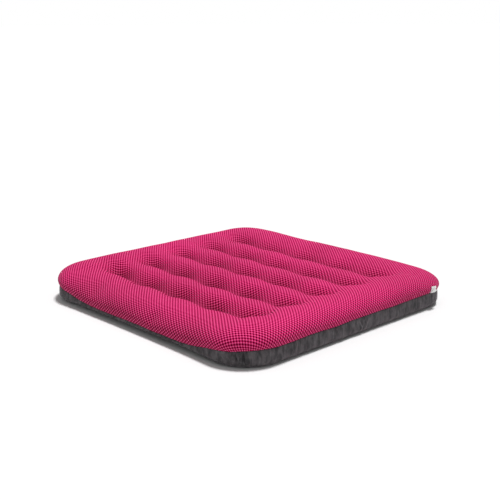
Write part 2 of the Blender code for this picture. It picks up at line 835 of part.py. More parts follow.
# ---------------------------------------------------------------- assembly

def main():
    clear_scene()
    materials = make_materials()
    lines_x = plan_lines(inner_lines(INNER_X, PITCH_X, TUFTS_ACROSS, CELLS_PER_PITCH), BORDER_STEPS)
    lines_y = plan_lines(inner_lines(INNER_Y, PITCH_Y, TUFTS_DEEP, CELLS_PER_PITCH), BORDER_STEPS)
    surface = top_surface(lines_x, lines_y)
    tufts = tuft_keys(lines_x, lines_y)
    tuft_points = [surface[0][key] for key in tufts]
    border_path = walk_border(lines_x, lines_y)
    stations = [station(lines_x[i], lines_y[j])[:2] for i, j in border_path]

    make_top_cover(surface, border_path, tufts, materials["air_mesh"])
    make_quilt_fill(surface, lines_x, lines_y, tufts, materials["polyester_fill"])
    make_quilt_backing(stations, tuft_points, materials["scrim"])
    for number, point in enumerate(tuft_points):
        row, column = divmod(number, TUFTS_ACROSS)
        make_tuft_tie(f"tuft_tie_r{row + 1}_c{column + 1}", point, materials["thread"])
    make_foam_core(stations, materials["foam"])
    make_bottom_cover(stations, materials["case_fabric"])
    make_side_band(stations, materials["case_fabric"])
    make_rear_bands(materials["case_fabric"])
    make_zip_halves(materials)
    make_zip_bottom_stop(materials["zip_metal"])
    make_zip_end_tabs(materials["case_fabric"])
    make_zip_slider(materials["zip_metal"])
    make_zip_pull(materials["zip_metal"])
    make_label(materials["label"])


main()
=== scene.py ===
"""The looks of the tufted seat cushion: cloth, stitching, zip, label, materials, camera and lights."""

import math
import random

import bpy
import bmesh
import numpy as np
from mathutils import Matrix, Vector, noise


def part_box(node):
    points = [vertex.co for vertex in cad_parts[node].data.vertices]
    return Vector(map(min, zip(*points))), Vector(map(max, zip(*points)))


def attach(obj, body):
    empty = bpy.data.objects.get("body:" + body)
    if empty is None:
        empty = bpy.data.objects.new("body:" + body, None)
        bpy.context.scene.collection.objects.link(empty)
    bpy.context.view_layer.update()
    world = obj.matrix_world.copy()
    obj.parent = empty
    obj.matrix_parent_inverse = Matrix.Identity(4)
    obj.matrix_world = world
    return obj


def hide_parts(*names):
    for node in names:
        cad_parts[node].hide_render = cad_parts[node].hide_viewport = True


MM = 0.001

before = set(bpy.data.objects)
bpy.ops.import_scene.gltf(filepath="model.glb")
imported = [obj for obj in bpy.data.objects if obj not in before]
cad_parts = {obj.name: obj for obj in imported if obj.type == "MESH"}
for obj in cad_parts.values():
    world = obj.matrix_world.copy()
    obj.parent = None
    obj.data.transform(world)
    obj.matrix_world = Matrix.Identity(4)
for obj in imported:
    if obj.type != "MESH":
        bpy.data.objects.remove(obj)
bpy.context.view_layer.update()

# ---------------------------------------------------------------- dimensions, from the frame

BAND_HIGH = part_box("side_band")[1]
SEAM_X = BAND_HIGH.x
SEAM_Y = BAND_HIGH.y
SEAM_Z = BAND_HIGH.z
COVER_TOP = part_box("top_cover")[1].z
CORNER = 56 * MM
INNER_X = SEAM_X - CORNER
INNER_Y = SEAM_Y - CORNER

ROWS = 5
COLUMNS = 5


def node_centre(name):
    low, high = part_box(name)
    return (low + high) / 2


FIRST_TUFT = node_centre("tuft_tie_r1_c1")
LAST_TUFT = node_centre("tuft_tie_r5_c5")
PITCH_X = (LAST_TUFT.x - FIRST_TUFT.x) / (COLUMNS - 1)
PITCH_Y = (LAST_TUFT.y - FIRST_TUFT.y) / (ROWS - 1)
FIELD_X = LAST_TUFT.x
FIELD_Y = LAST_TUFT.y

# The front of the cushion slopes down above and curls up below
FRONT_DROP = 12 * MM
FRONT_LIFT = 6 * MM
FRONT_FLAT = 90 * MM
LIFT_START = 20 * MM

# The top slopes down to the front seam from this far in front of the middle
SLOPE_START = 20 * MM

# The fabric stands a little proud of the solids at the seam, except at the zip
PROUD = 1.3 * MM
SEAM_REACH = CORNER + PROUD
CASE_THICKNESS = 1.2 * MM
BAND_BULGE = 1.6 * MM
BAND_FOOT = 0.3 * MM
BAND_SPACING = 1.0 * MM

# The band's profile: how far its lip reaches under the cushion, the lip's flat width, how far the curl
# goes out, and the share of the height that the curl takes up
LIP_REACH = SEAM_REACH - 8.6 * MM
LIP_WIDTH = 1.4 * MM
CURL_REACH = 8.2 * MM
CURL_SHARE = 0.34

# The top's quilting. The valleys run out further at the sitter's right end, which has the long fade
CREST_HEIGHT = COVER_TOP - 4 * MM
FIELD_SINK = 5 * MM
VALLEY_DEPTH = 11.5 * MM
VALLEY_SHARPNESS = 1.7
DIMPLE_DEPTH = 6.5 * MM
REAR_SINK = 2.8 * MM
DIMPLE_SHARPNESS = 1.5
SCALLOP_DEPTH = 1.6 * MM
FADE_LENGTH = 42 * MM
LONG_FADE = 64 * MM
CREST_REACH = 18 * MM
BULGE = 2.6 * MM
CELLS_PER_PITCH = 12
BORDER_STEPS = 15
SEAM_STEPS = 6
COVER_THICKNESS = 2.4 * MM
UNEVEN_HEIGHT = 1.0 * MM
SEAM_WAVE = 1.2 * MM

# Cloth simulation
VALLEY_PIN = 0.7
PUFF_PRESSURE = 3.0
PUFF_FRAMES = 20
PUFF_CAP = 5 * MM
CLOTH_SLACK = -0.004

# Layers under the top, from the seam's height down
FILL_REACH = 51 * MM
FILL_BOTTOM = SEAM_Z + 0.1 * MM
BACKING_TOP = SEAM_Z - 0.2 * MM
BACKING_REACH = 51 * MM
BACKING_THICKNESS = 0.8 * MM
FOAM_TOP = SEAM_Z - 2.2 * MM
FOAM_BOTTOM = 2.6 * MM
FOAM_REACH = 53 * MM
FOAM_ROUNDING = 5 * MM
TIE_GAP = 3.5 * MM
TIE_RADIUS = 0.42 * MM

# Underside
PANEL_REACH = SEAM_REACH - 8.4 * MM
PANEL_FOOT = 0.9 * MM
PANEL_THICKNESS = 0.8 * MM
HEM_REACH = PANEL_REACH - 3.5 * MM
DOT_PITCH = 14 * MM
DOT_RADIUS = 1.7 * MM
STITCH_RADIUS = 0.28 * MM

# Zip and label
COIL_WIRE = 0.34 * MM
COIL_PITCH = 1.4 * MM
LABEL_ANGLE = math.radians(6)
LABEL_WIDTH = 13 * MM
LABEL_PLY = 0.5 * MM

# Weaves and strands in the materials
HOLE_PITCH = 5.7 * MM
HOLE_ROW = 4.6 * MM
TAPE_RIB = 0.7 * MM
LABEL_RIB = 0.5 * MM
THREAD_TURN = 0.9 * MM

# Light
AMBIENT = 0.34
SUN_PLACE = (0.0, 0.45, 1.8)
SUN_STRENGTH = 2.85
SUN_SPREAD = math.radians(12)

# Creases that show in the band: place along it in metres from the middle of the front left corner,
# slant, width, depth, and the height shares that it spans
SHOWN_CREASES = (
    (-0.0090, -0.35, 1.2 * MM, 3.0 * MM, 0.50, 0.97),
    (-0.0005, -0.15, 1.1 * MM, 3.0 * MM, 0.40, 0.95),
    (-0.0200, -0.90, 2.6 * MM, 1.2 * MM, 0.15, 0.90),
    (-0.0280, -0.70, 2.2 * MM, 1.0 * MM, 0.30, 0.90),
    (0.1960, -0.50, 2.2 * MM, -1.2 * MM, 0.15, 0.85),
    (0.2040, 0.60, 1.9 * MM, 1.4 * MM, 0.20, 0.90),
)


# ---------------------------------------------------------------- small helpers

def smooth(low, high, value):
    """0 below low, 1 above high, and a smooth step between them."""
    share = np.clip((value - low) / (high - low), 0.0, 1.0)
    return share * share * (3 - 2 * share)


def round_about(angle, radius=1.0):
    """A level vector at an angle from the X axis."""
    return Vector((math.cos(angle), math.sin(angle), 0)) * radius


def squared(value, power):
    """A sine or cosine pushed outwards, which turns a circle into a rounded square."""
    return math.copysign(abs(value) ** power, value)


def spread_noise(x, y, scale, seed):
    """Smooth noise between -1 and 1 over the plan. The scale is in lumps per metre."""
    places = zip(np.ravel(x), np.ravel(y))
    values = [noise.noise(Vector((a * scale, b * scale, seed))) for a, b in places]
    return np.reshape(values, np.shape(x))


def lattice(rows, columns, close_columns=False):
    """Faces of a grid of points, given row by row."""
    index = np.arange(rows * columns).reshape(rows, columns)
    if close_columns:
        index = np.concatenate([index, index[:, :1]], 1)
    quads = (index[:-1, :-1], index[1:, :-1], index[1:, 1:], index[:-1, 1:])
    return [tuple(face) for face in np.stack(quads, -1).reshape(-1, 4).tolist()]


def place_object(name, data):
    """A new object in the scene."""
    item = bpy.data.objects.new(name, data)
    bpy.context.scene.collection.objects.link(item)
    return item


def point_rows(x, y, z):
    """Points of a grid, row by row, from its coordinates."""
    return np.stack([x, y, z], -1).reshape(-1, 3)


def mesh_object(name, points, faces, material):
    """A smooth-shaded piece of the cushion."""
    mesh = bpy.data.meshes.new(name)
    mesh.from_pydata(np.asarray(points, float).tolist(), [], faces)
    mesh.shade_smooth()
    mesh.materials.append(material)
    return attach(place_object(name, mesh), "cushion")


class Parts:
    """Points and faces that end up in one mesh."""

    def __init__(self):
        self.points = []
        self.faces = []

    def add(self, points, faces):
        base = len(self.points)
        self.points += [tuple(point) for point in points]
        self.faces += [tuple(base + i for i in face) for face in faces]

    def add_tube(self, path, radius, sides):
        """A round strand along a path, closed at both ends."""
        rings = []
        normal = None
        for k, point in enumerate(path):
            tangent = (path[min(k + 1, len(path) - 1)] - path[max(k - 1, 0)]).normalized()
            reference = normal if normal is not None else tangent.orthogonal()
            normal = (reference - tangent * reference.dot(tangent)).normalized()
            binormal = tangent.cross(normal)
            taper = 0.6 if k in (0, len(path) - 1) else 1.0
            for side in range(sides):
                angle = 2 * math.pi * side / sides
                offset = normal * math.cos(angle) + binormal * math.sin(angle)
                rings.append(point + offset * radius * taper)
        self.add_loft(rings, sides)

    def add_loft(self, rings, around):
        """A skin over rings of so many points each, given ring by ring, with capped ends."""
        faces = lattice(len(rings) // around, around, close_columns=True)
        faces.append(tuple(range(around)))
        faces.append(tuple(range(len(rings) - around, len(rings))))
        self.add(rings, faces)

    def make(self, name, material):
        """One piece from the parts, with every face turned outwards."""
        piece = mesh_object(name, self.points, self.faces, material)
        body = bmesh.new()
        body.from_mesh(piece.data)
        bmesh.ops.recalc_face_normals(body, faces=body.faces)
        body.to_mesh(piece.data)
        body.free()
        return piece


def add_thickness(piece, thickness, offset):
    shell = piece.modifiers.new("thickness", "SOLIDIFY")
    shell.thickness = thickness
    shell.offset = offset


def weld(piece):
    """Join points that lie on each other."""
    body = bmesh.new()
    body.from_mesh(piece.data)
    bmesh.ops.remove_doubles(body, verts=body.verts, dist=0.02 * MM)
    body.to_mesh(piece.data)
    body.free()


def apply_modifiers(piece):
    """Replace a piece's mesh with what its modifiers make of it."""
    bpy.context.view_layer.update()
    graph = bpy.context.evaluated_depsgraph_get()
    mesh = bpy.data.meshes.new_from_object(piece.evaluated_get(graph))
    old = piece.data
    piece.modifiers.clear()
    piece.data = mesh
    bpy.data.meshes.remove(old)
    mesh.name = piece.name
    mesh.shade_smooth()


def finish_piece(piece, node):
    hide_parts(node)


# ---------------------------------------------------------------- materials

class Nodes:
    """A short way to write a material's node tree."""

    def __init__(self, name):
        self.material = bpy.data.materials.new(name)
        self.material.use_nodes = True
        self.tree = self.material.node_tree
        self.shader = self.tree.nodes["Principled BSDF"]

    def link(self, value, socket):
        if isinstance(value, bpy.types.NodeSocket):
            self.tree.links.new(value, socket)
        else:
            socket.default_value = value

    def set(self, **values):
        for name, value in values.items():
            self.link(value, self.shader.inputs[name.replace("_", " ")])

    def position(self, scale=(1, 1, 1)):
        """Object coordinates in metres, scaled."""
        source = self.tree.nodes.new("ShaderNodeTexCoord")
        return self.scaled(source.outputs["Object"], scale)

    def cloth(self, scale):
        """Coordinates on the flat cloth in metres, scaled."""
        source = self.tree.nodes.new("ShaderNodeUVMap")
        source.uv_map = "flat"
        return self.scaled(source.outputs["UV"], scale)

    def scaled(self, vector, scale):
        node = self.tree.nodes.new("ShaderNodeMapping")
        node.inputs["Scale"].default_value = scale
        self.link(vector, node.inputs["Vector"])
        return node.outputs["Vector"]

    def split(self, vector):
        node = self.tree.nodes.new("ShaderNodeSeparateXYZ")
        self.link(vector, node.inputs[0])
        return node.outputs

    def math(self, operation, a, b=0.0):
        node = self.tree.nodes.new("ShaderNodeMath")
        node.operation = operation
        self.link(a, node.inputs[0])
        self.link(b, node.inputs[1])
        return node.outputs[0]

    def noise(self, vector, scale, detail=3.0, roughness=0.5):
        node = self.tree.nodes.new("ShaderNodeTexNoise")
        node.inputs["Scale"].default_value = scale
        node.inputs["Detail"].default_value = detail
        node.inputs["Roughness"].default_value = roughness
        self.link(vector, node.inputs["Vector"])
        return node.outputs["Fac"]

    def cells(self, vector, scale):
        node = self.tree.nodes.new("ShaderNodeTexVoronoi")
        node.inputs["Scale"].default_value = scale
        self.link(vector, node.inputs["Vector"])
        return node.outputs["Distance"]

    def ramp(self, value, low, high, start=0.0, end=1.0):
        node = self.tree.nodes.new("ShaderNodeMapRange")
        node.interpolation_type = "SMOOTHSTEP"
        self.link(value, node.inputs["Value"])
        node.inputs["From Min"].default_value = low
        node.inputs["From Max"].default_value = high
        node.inputs["To Min"].default_value = start
        node.inputs["To Max"].default_value = end
        return node.outputs["Result"]

    def mix(self, share, first, second):
        node = self.tree.nodes.new("ShaderNodeMix")
        node.data_type = "RGBA"
        self.link(share, node.inputs["Factor"])
        self.link(first, node.inputs["A"])
        self.link(second, node.inputs["B"])
        return node.outputs["Result"]

    def bump(self, height, distance, strength=1.0):
        """Bump by a height that runs over distance metres."""
        node = self.tree.nodes.new("ShaderNodeBump")
        node.inputs["Distance"].default_value = distance
        node.inputs["Strength"].default_value = strength
        self.link(height, node.inputs["Height"])
        self.link(node.outputs["Normal"], self.shader.inputs["Normal"])


def colour(red, green, blue):
    return (red, green, blue, 1.0)


def wave(nodes, value):
    return nodes.math("COSINE", nodes.math("MULTIPLY", value, 2 * math.pi))


def air_mesh_material():
    """Spacer mesh: staggered oval holes between knitted ribs, dark red inside as painted shade."""
    n = Nodes("air_mesh")
    along, across, _ = n.split(n.cloth((1 / HOLE_PITCH, 1 / HOLE_ROW, 1)))
    weave = n.math("MULTIPLY", wave(n, along), wave(n, across))
    patches = n.noise(n.position(), 14.0, 4.0)
    fuzz = n.noise(n.position(), 900.0, 2.0)
    light = colour(0.88, 0.010, 0.180)
    deep = colour(0.42, 0.002, 0.062)
    knot = colour(1.0, 0.24, 0.50)
    # The colour of the painted shade in the tufts' dimples and the valleys between them.
    painted_tuft_shade = colour(0.26, 0.008, 0.05)
    inside = colour(0.05, 0.0, 0.005)
    # Painted light and shade: the pink goes from deep low down to light at the crests, as the light
    # falls; the patches add the knit's own uneven tone.
    height = n.ramp(n.split(n.position())[2], 16 * MM, CREST_HEIGHT, 0.0, 0.75)
    face = n.mix(n.math("ADD", height, n.ramp(patches, 0.3, 0.7, 0.0, 0.25)), deep, light)
    # The knots between the holes are paler: partly the knit's own paler threads, partly a painted
    # highlight on them.
    face = n.mix(n.ramp(weave, -1.0, -0.2, 0.8, 0.0), face, knot)
    face = n.mix(n.ramp(fuzz, 0.35, 0.75, 0.0, 0.25), face, deep)
    # Painted shade in the tufts' dimples and the valleys between them.
    face = n.mix(tuft_shade(n), face, painted_tuft_shade)
    # Painted shade inside the holes: the dark red stands in for the depth of the knit.
    n.set(Base_Color=n.mix(n.ramp(weave, 0.1, 0.6), face, inside))
    n.set(Roughness=n.ramp(fuzz, 0.2, 0.8, 0.55, 0.75))
    n.set(Sheen_Weight=0.16, Sheen_Roughness=0.3, Sheen_Tint=colour(1.0, 0.4, 0.65))
    n.set(Specular_IOR_Level=0.05)
    relief = n.math("ADD", n.math("MULTIPLY", weave, -0.5), n.math("MULTIPLY", fuzz, 0.12))
    n.bump(relief, 1.1 * MM, 0.9)
    return n.material


def tuft_shade(n):
    """1 at the tufts and along the valleys between them, fading out round them: where shade is painted
    in the dimples and valleys.
    """
    x, y, _ = n.split(n.position())
    shares = []
    for value, field, pitch in ((x, FIELD_X, PITCH_X), (y, FIELD_Y, PITCH_Y)):
        turn = n.math("MULTIPLY", n.math("SUBTRACT", value, field), math.pi / pitch)
        crest = n.math("POWER", n.math("ABSOLUTE", n.math("COSINE", turn)), 2.0)
        inside = n.math("LESS_THAN", n.math("ABSOLUTE", value), field + pitch / 2)
        shares.append(n.math("MULTIPLY", crest, inside))
    along, across = shares
    dimple = n.math("MULTIPLY", n.math("POWER", along, 1.6), n.math("POWER", across, 3.0))
    fade = n.ramp(n.math("ABSOLUTE", x), FIELD_X, FIELD_X + 20 * MM, 1.0, 0.0)
    valley = n.math("MULTIPLY", n.math("POWER", across, 5.0), fade)
    return n.math("ADD", n.math("MULTIPLY", dimple, 0.6), n.math("MULTIPLY", valley, 0.45))


def case_fabric_material():
    """Charcoal brushed microfibre: mottled nap over a fine weave."""
    n = Nodes("case_fabric")
    nap = n.noise(n.position((1, 1, 0.35)), 130.0, 5.0, 0.65)
    grain = n.noise(n.position(), 1400.0, 2.0)
    streaks = n.noise(n.position((1, 1, 0.3)), 320.0, 4.0)
    low = colour(0.036, 0.033, 0.036)
    high = colour(0.122, 0.110, 0.117)
    pale = colour(0.200, 0.185, 0.194)
    tone = n.mix(n.ramp(nap, 0.34, 0.66), low, high)
    tone = n.mix(n.ramp(streaks, 0.5, 0.7, 0.0, 0.4), tone, pale)
    tone = n.mix(n.ramp(grain, 0.35, 0.7, 0.0, 0.3), tone, low)
    n.set(Base_Color=tone, Roughness=n.ramp(grain, 0.2, 0.8, 0.7, 0.92))
    n.set(Sheen_Weight=0.35, Sheen_Roughness=0.35, Sheen_Tint=colour(0.85, 0.78, 0.84))
    n.set(Specular_IOR_Level=0.25)
    height = n.math("ADD", n.math("MULTIPLY", nap, 0.8), n.math("MULTIPLY", grain, 0.25))
    n.bump(height, 0.7 * MM, 0.6)
    return n.material


def zip_tape_material():
    """A plain weave: crossed ribs with some lint on them."""
    n = Nodes("zip_tape")
    x, y, z = n.split(n.position((1 / TAPE_RIB,) * 3))
    ribs = n.math("MULTIPLY", wave(n, n.math("ADD", x, y)), wave(n, n.math("SUBTRACT", z, y)))
    lint = n.noise(n.position(), 700.0)
    dark = colour(0.018, 0.016, 0.018)
    light = colour(0.055, 0.05, 0.054)
    tone = n.mix(n.ramp(ribs, -0.8, 0.8), dark, light)
    n.set(Base_Color=n.mix(n.ramp(lint, 0.5, 0.8, 0.0, 0.3), tone, light))
    n.set(Roughness=n.ramp(lint, 0.2, 0.8, 0.7, 0.9))
    n.set(Sheen_Weight=0.15, Sheen_Roughness=0.5)
    n.bump(ribs, 0.12 * MM, 0.6)
    return n.material


def foam_material():
    """Cut foam: pale with darker open cells, yellowed in patches."""
    n = Nodes("foam")
    cells = n.cells(n.position(), 900.0)
    age = n.noise(n.position(), 9.0)
    fresh = colour(0.86, 0.80, 0.62)
    yellowed = colour(0.78, 0.68, 0.46)
    hollow = colour(0.45, 0.36, 0.2)
    tone = n.mix(n.ramp(age, 0.35, 0.7), fresh, yellowed)
    n.set(Base_Color=n.mix(n.ramp(cells, 0.1, 0.5, 0.45, 0.0), tone, hollow))
    n.set(Roughness=n.ramp(cells, 0.0, 0.6, 0.98, 0.88))
    n.bump(cells, 0.5 * MM, 0.7)
    return n.material


def fibre_material():
    """White polyester fibre in clumps."""
    n = Nodes("polyester_fill")
    strands = n.noise(n.position((1, 4, 1)), 320.0, 6.0, 0.75)
    clumps = n.noise(n.position(), 40.0)
    grey = colour(0.80, 0.79, 0.76)
    white = colour(0.92, 0.91, 0.89)
    shade = colour(0.6, 0.6, 0.58)
    tone = n.mix(n.ramp(clumps, 0.3, 0.7), grey, white)
    n.set(Base_Color=n.mix(n.ramp(strands, 0.35, 0.65, 0.3, 0.0), tone, shade))
    n.set(Roughness=n.ramp(strands, 0.2, 0.8, 0.85, 1.0), Sheen_Weight=0.4)
    n.bump(strands, 1.0 * MM, 0.6)
    return n.material


def scrim_material():
    """Thin bonded web."""
    n = Nodes("scrim")
    web = n.noise(n.position((3, 1, 1)), 500.0, 5.0, 0.7)
    thin = colour(0.68, 0.67, 0.64)
    dense = colour(0.84, 0.83, 0.8)
    n.set(Base_Color=n.mix(n.ramp(web, 0.4, 0.6), thin, dense))
    n.set(Roughness=n.ramp(web, 0.3, 0.7, 0.8, 0.95))
    n.bump(web, 0.25 * MM, 0.5)
    return n.material


def thread_material(name, dark, light):
    """Twisted thread: slanted turns along the strand."""
    n = Nodes(name)
    x, y, z = n.split(n.position((1 / THREAD_TURN,) * 3))
    turns = wave(n, n.math("ADD", n.math("ADD", x, y), z))
    n.set(Base_Color=n.mix(n.ramp(turns, -0.6, 0.6), dark, light))
    n.set(Roughness=n.ramp(turns, -1.0, 1.0, 0.7, 0.5), Sheen_Weight=0.2)
    n.bump(turns, 0.08 * MM, 0.7)
    return n.material


def coil_material():
    """Black nylon, a little rubbed."""
    n = Nodes("zip_coil")
    rub = n.noise(n.position(), 160.0)
    dark = colour(0.030, 0.027, 0.030)
    light = colour(0.060, 0.055, 0.060)
    n.set(Base_Color=n.mix(n.ramp(rub, 0.4, 0.7), dark, light))
    n.set(Roughness=n.ramp(rub, 0.3, 0.7, 0.28, 0.45))
    n.bump(rub, 0.05 * MM, 0.4)
    return n.material


def metal_material():
    """Zip hardware: gunmetal, rubbed brighter in patches, with fine scratches."""
    n = Nodes("zip_metal")
    rub = n.noise(n.position(), 350.0, 4.0)
    scratches = n.noise(n.position((8, 1, 1)), 900.0, 2.0)
    dark = colour(0.10, 0.095, 0.098)
    bright = colour(0.26, 0.25, 0.25)
    n.set(Base_Color=n.mix(n.ramp(rub, 0.5, 0.75), dark, bright), Metallic=1.0)
    n.set(Roughness=n.ramp(scratches, 0.35, 0.7, 0.25, 0.48))
    n.bump(scratches, 0.03 * MM, 0.5)
    return n.material


def label_material():
    """White woven tape, slightly soiled, without lettering."""
    n = Nodes("label")
    x, y, z = n.split(n.position((1 / LABEL_RIB,) * 3))
    ribs = n.math("ADD", wave(n, n.math("ADD", x, y)), wave(n, z))
    soil = n.noise(n.position(), 260.0)
    clean = colour(0.90, 0.90, 0.89)
    soiled = colour(0.74, 0.73, 0.71)
    groove = colour(0.6, 0.6, 0.6)
    tone = n.mix(n.ramp(soil, 0.45, 0.8), clean, soiled)
    n.set(Base_Color=n.mix(n.ramp(ribs, -1.5, 0.5, 0.2, 0.0), tone, groove))
    n.set(Roughness=n.ramp(soil, 0.3, 0.7, 0.45, 0.65), Sheen_Weight=0.2)
    n.bump(ribs, 0.06 * MM, 0.5)
    return n.material


def grip_material():
    """Dusty dark rubber."""
    n = Nodes("grip")
    dust = n.noise(n.position(), 500.0)
    rubber = colour(0.17, 0.165, 0.17)
    dusty = colour(0.24, 0.235, 0.24)
    n.set(Base_Color=n.mix(n.ramp(dust, 0.4, 0.75), rubber, dusty))
    n.set(Roughness=n.ramp(dust, 0.3, 0.7, 0.35, 0.55))
    n.bump(dust, 0.05 * MM, 0.4)
    return n.material


def floor_material():
    n = Nodes("floor")
    n.set(Base_Color=colour(0.86, 0.86, 0.86), Roughness=0.9, Specular_IOR_Level=0.1)
    return n.material


AIR_MESH = air_mesh_material()
CASE_FABRIC = case_fabric_material()
FOAM = foam_material()
FIBRE = fibre_material()
SCRIM = scrim_material()
TIE_THREAD = thread_material("thread", colour(0.22, 0.008, 0.045), colour(0.45, 0.03, 0.12))
CASE_THREAD = thread_material("case_thread", colour(0.03, 0.027, 0.03), colour(0.09, 0.08, 0.088))
ZIP_TAPE = zip_tape_material()
ZIP_COIL = coil_material()
ZIP_METAL = metal_material()
LABEL = label_material()
GRIP = grip_material()


# ---------------------------------------------------------------- plan

def front_weight(anchor_x, anchor_y, direction_x):
    """1 along the front edge, fading to 0 round the front corners, and 0 elsewhere."""
    seam_x = np.abs(anchor_x + direction_x * CORNER)
    return np.where(anchor_y < 0, 1 - smooth(FRONT_FLAT, SEAM_X, seam_x), 0.0)


def front_drop(weight, y):
    """How far the top has come down at a place, all the way to the front seam."""
    return FRONT_DROP * weight * np.clip((-y - SLOPE_START) / (SEAM_Y - SLOPE_START), 0.0, 1.0)


def front_lift(weight, reach):
    """How far the underside has curled up at a reach, towards the front seam."""
    return FRONT_LIFT * weight * np.clip((reach - LIFT_START) / (CORNER - LIFT_START), 0.0, None)


def rear_weight(anchor_x, anchor_y, direction_x):
    """1 along the zip, fading to 0 round the rear corners, and 0 elsewhere."""
    seam_x = np.abs(anchor_x + direction_x * CORNER)
    return np.where(anchor_y > 0, 1 - smooth(INNER_X, SEAM_X, seam_x), 0.0)


def seam_wave(x, y):
    """Small waviness of the seam line, the same for the cloth above and below it."""
    return spread_noise(x, y, scale=26, seed=3.1) * SEAM_WAVE


class Plan:
    """A grid over the round-cornered plan, from lines inside it and steps across its border."""

    def __init__(self, values_x, values_y, steps):
        lines_x = self.border_lines(values_x, steps)
        lines_y = self.border_lines(values_y, steps)
        anchor_x, step_x = np.array(lines_x).T
        anchor_y, step_y = np.array(lines_y).T
        self.anchor_x, self.anchor_y = np.meshgrid(anchor_x, anchor_y, indexing="ij")
        step_x, step_y = np.meshgrid(step_x, step_y, indexing="ij")
        length = np.maximum(np.hypot(step_x, step_y), 1e-9)
        self.direction_x = step_x / length
        self.direction_y = step_y / length
        self.step = np.maximum(np.abs(step_x), np.abs(step_y)).astype(int)
        self.weight = front_weight(self.anchor_x, self.anchor_y, self.direction_x)
        rear = rear_weight(self.anchor_x, self.anchor_y, self.direction_x)
        on_border = (np.abs(step_x) > 0) | (np.abs(step_y) > 0)
        self.inset = np.where(on_border, rear * PROUD / SEAM_REACH, 0.0)
        self.shape = self.step.shape

    @staticmethod
    def border_lines(values, steps):
        low = [(values[0], -step) for step in range(steps, 0, -1)]
        high = [(values[-1], step) for step in range(1, steps + 1)]
        return low + [(value, 0) for value in values] + high

    def place(self, reach):
        reach = reach * (1 - self.inset)
        return self.anchor_x + self.direction_x * reach, self.anchor_y + self.direction_y * reach

    def faces(self):
        return lattice(*self.shape)


def quilt_values(half, field, pitch, cells):
    """Grid lines across the inner rectangle. They pass through every tuft."""
    cell = pitch / cells
    count = round(2 * field / cell)
    middle = [-field + cell * k for k in range(count + 1)]
    margin = max(1, round((half - field) / cell))
    outer = [field + (half - field) * k / margin for k in range(1, margin + 1)]
    return [-value for value in reversed(outer)] + middle + outer


def bolster_profile():
    """Reach, height and length along the cloth of each border step."""
    width = SEAM_REACH + BULGE - CREST_REACH
    seam_cosine = (SEAM_REACH - CREST_REACH) / width
    seam_angle = -math.acos(seam_cosine)
    rise = (CREST_HEIGHT - SEAM_Z) / (1 - math.sin(seam_angle))
    flat_steps = 3
    profile = [(CREST_REACH * k / flat_steps, CREST_HEIGHT) for k in range(flat_steps + 1)]
    round_steps = BORDER_STEPS - flat_steps
    for k in range(1, round_steps + 1):
        angle = math.pi / 2 + (seam_angle - math.pi / 2) * k / round_steps
        reach = CREST_REACH + width * math.cos(angle)
        profile.append((reach, CREST_HEIGHT - rise * (1 - math.sin(angle))))
    profile = np.array(profile)
    lengths = np.hypot(*np.diff(profile, axis=0).T)
    return profile[:, 0], profile[:, 1], np.concatenate([[0], np.cumsum(lengths)])


# ---------------------------------------------------------------- the quilted top

def tuft_wave(value, field, pitch):
    """1 on the tuft lines and 0 half way between them and outside the field."""
    inside = np.abs(value) <= field + pitch / 2
    return np.where(inside, np.cos(math.pi * (value - field) / pitch) ** 2, 0.0)


def quilt_depth(x, y):
    """How far the quilting pulls the top down at a place."""
    row = tuft_wave(y, FIELD_Y, PITCH_Y)
    column = tuft_wave(x, FIELD_X, PITCH_X)
    fade = 1 - smooth(0, np.where(x > 0, FADE_LENGTH, LONG_FADE), np.abs(x) - FIELD_X)
    sink = FIELD_SINK * fade * (1 - smooth(0, FADE_LENGTH, np.abs(y) - FIELD_Y))
    valley = VALLEY_DEPTH * row ** VALLEY_SHARPNESS * fade
    dimple = DIMPLE_DEPTH * (row * column) ** DIMPLE_SHARPNESS
    scallop = SCALLOP_DEPTH * column * (1 - row) * fade * (np.abs(y) < FIELD_Y + PITCH_Y / 2)
    return sink + valley + dimple + scallop


def rear_sink(x, y):
    """The rear bolster is a little lower than the others, apart from its right end."""
    return REAR_SINK * smooth(FIELD_Y, INNER_Y, y) * smooth(-FIELD_X, -FIELD_X / 2, x)


def on_lines(values, field, pitch):
    """True where a value lies on one of the tuft lines."""
    place = (values + field) / pitch
    return (np.abs(place - np.round(place)) < 0.01) & (np.abs(values) < field + MM)


def valley_pins(plan):
    """Cloth pins: the seam and the tufts are fixed, and the sewn valleys between tufts are firm."""
    inner = plan.step == 0
    row = on_lines(plan.anchor_y, FIELD_Y, PITCH_Y) & (np.abs(plan.anchor_x) < FIELD_X + MM) & inner
    tuft = row & on_lines(plan.anchor_x, FIELD_X, PITCH_X)
    weight = np.where(tuft | (plan.step == BORDER_STEPS), 1.0, np.where(row, VALLEY_PIN, 0.0))
    return weight.ravel()


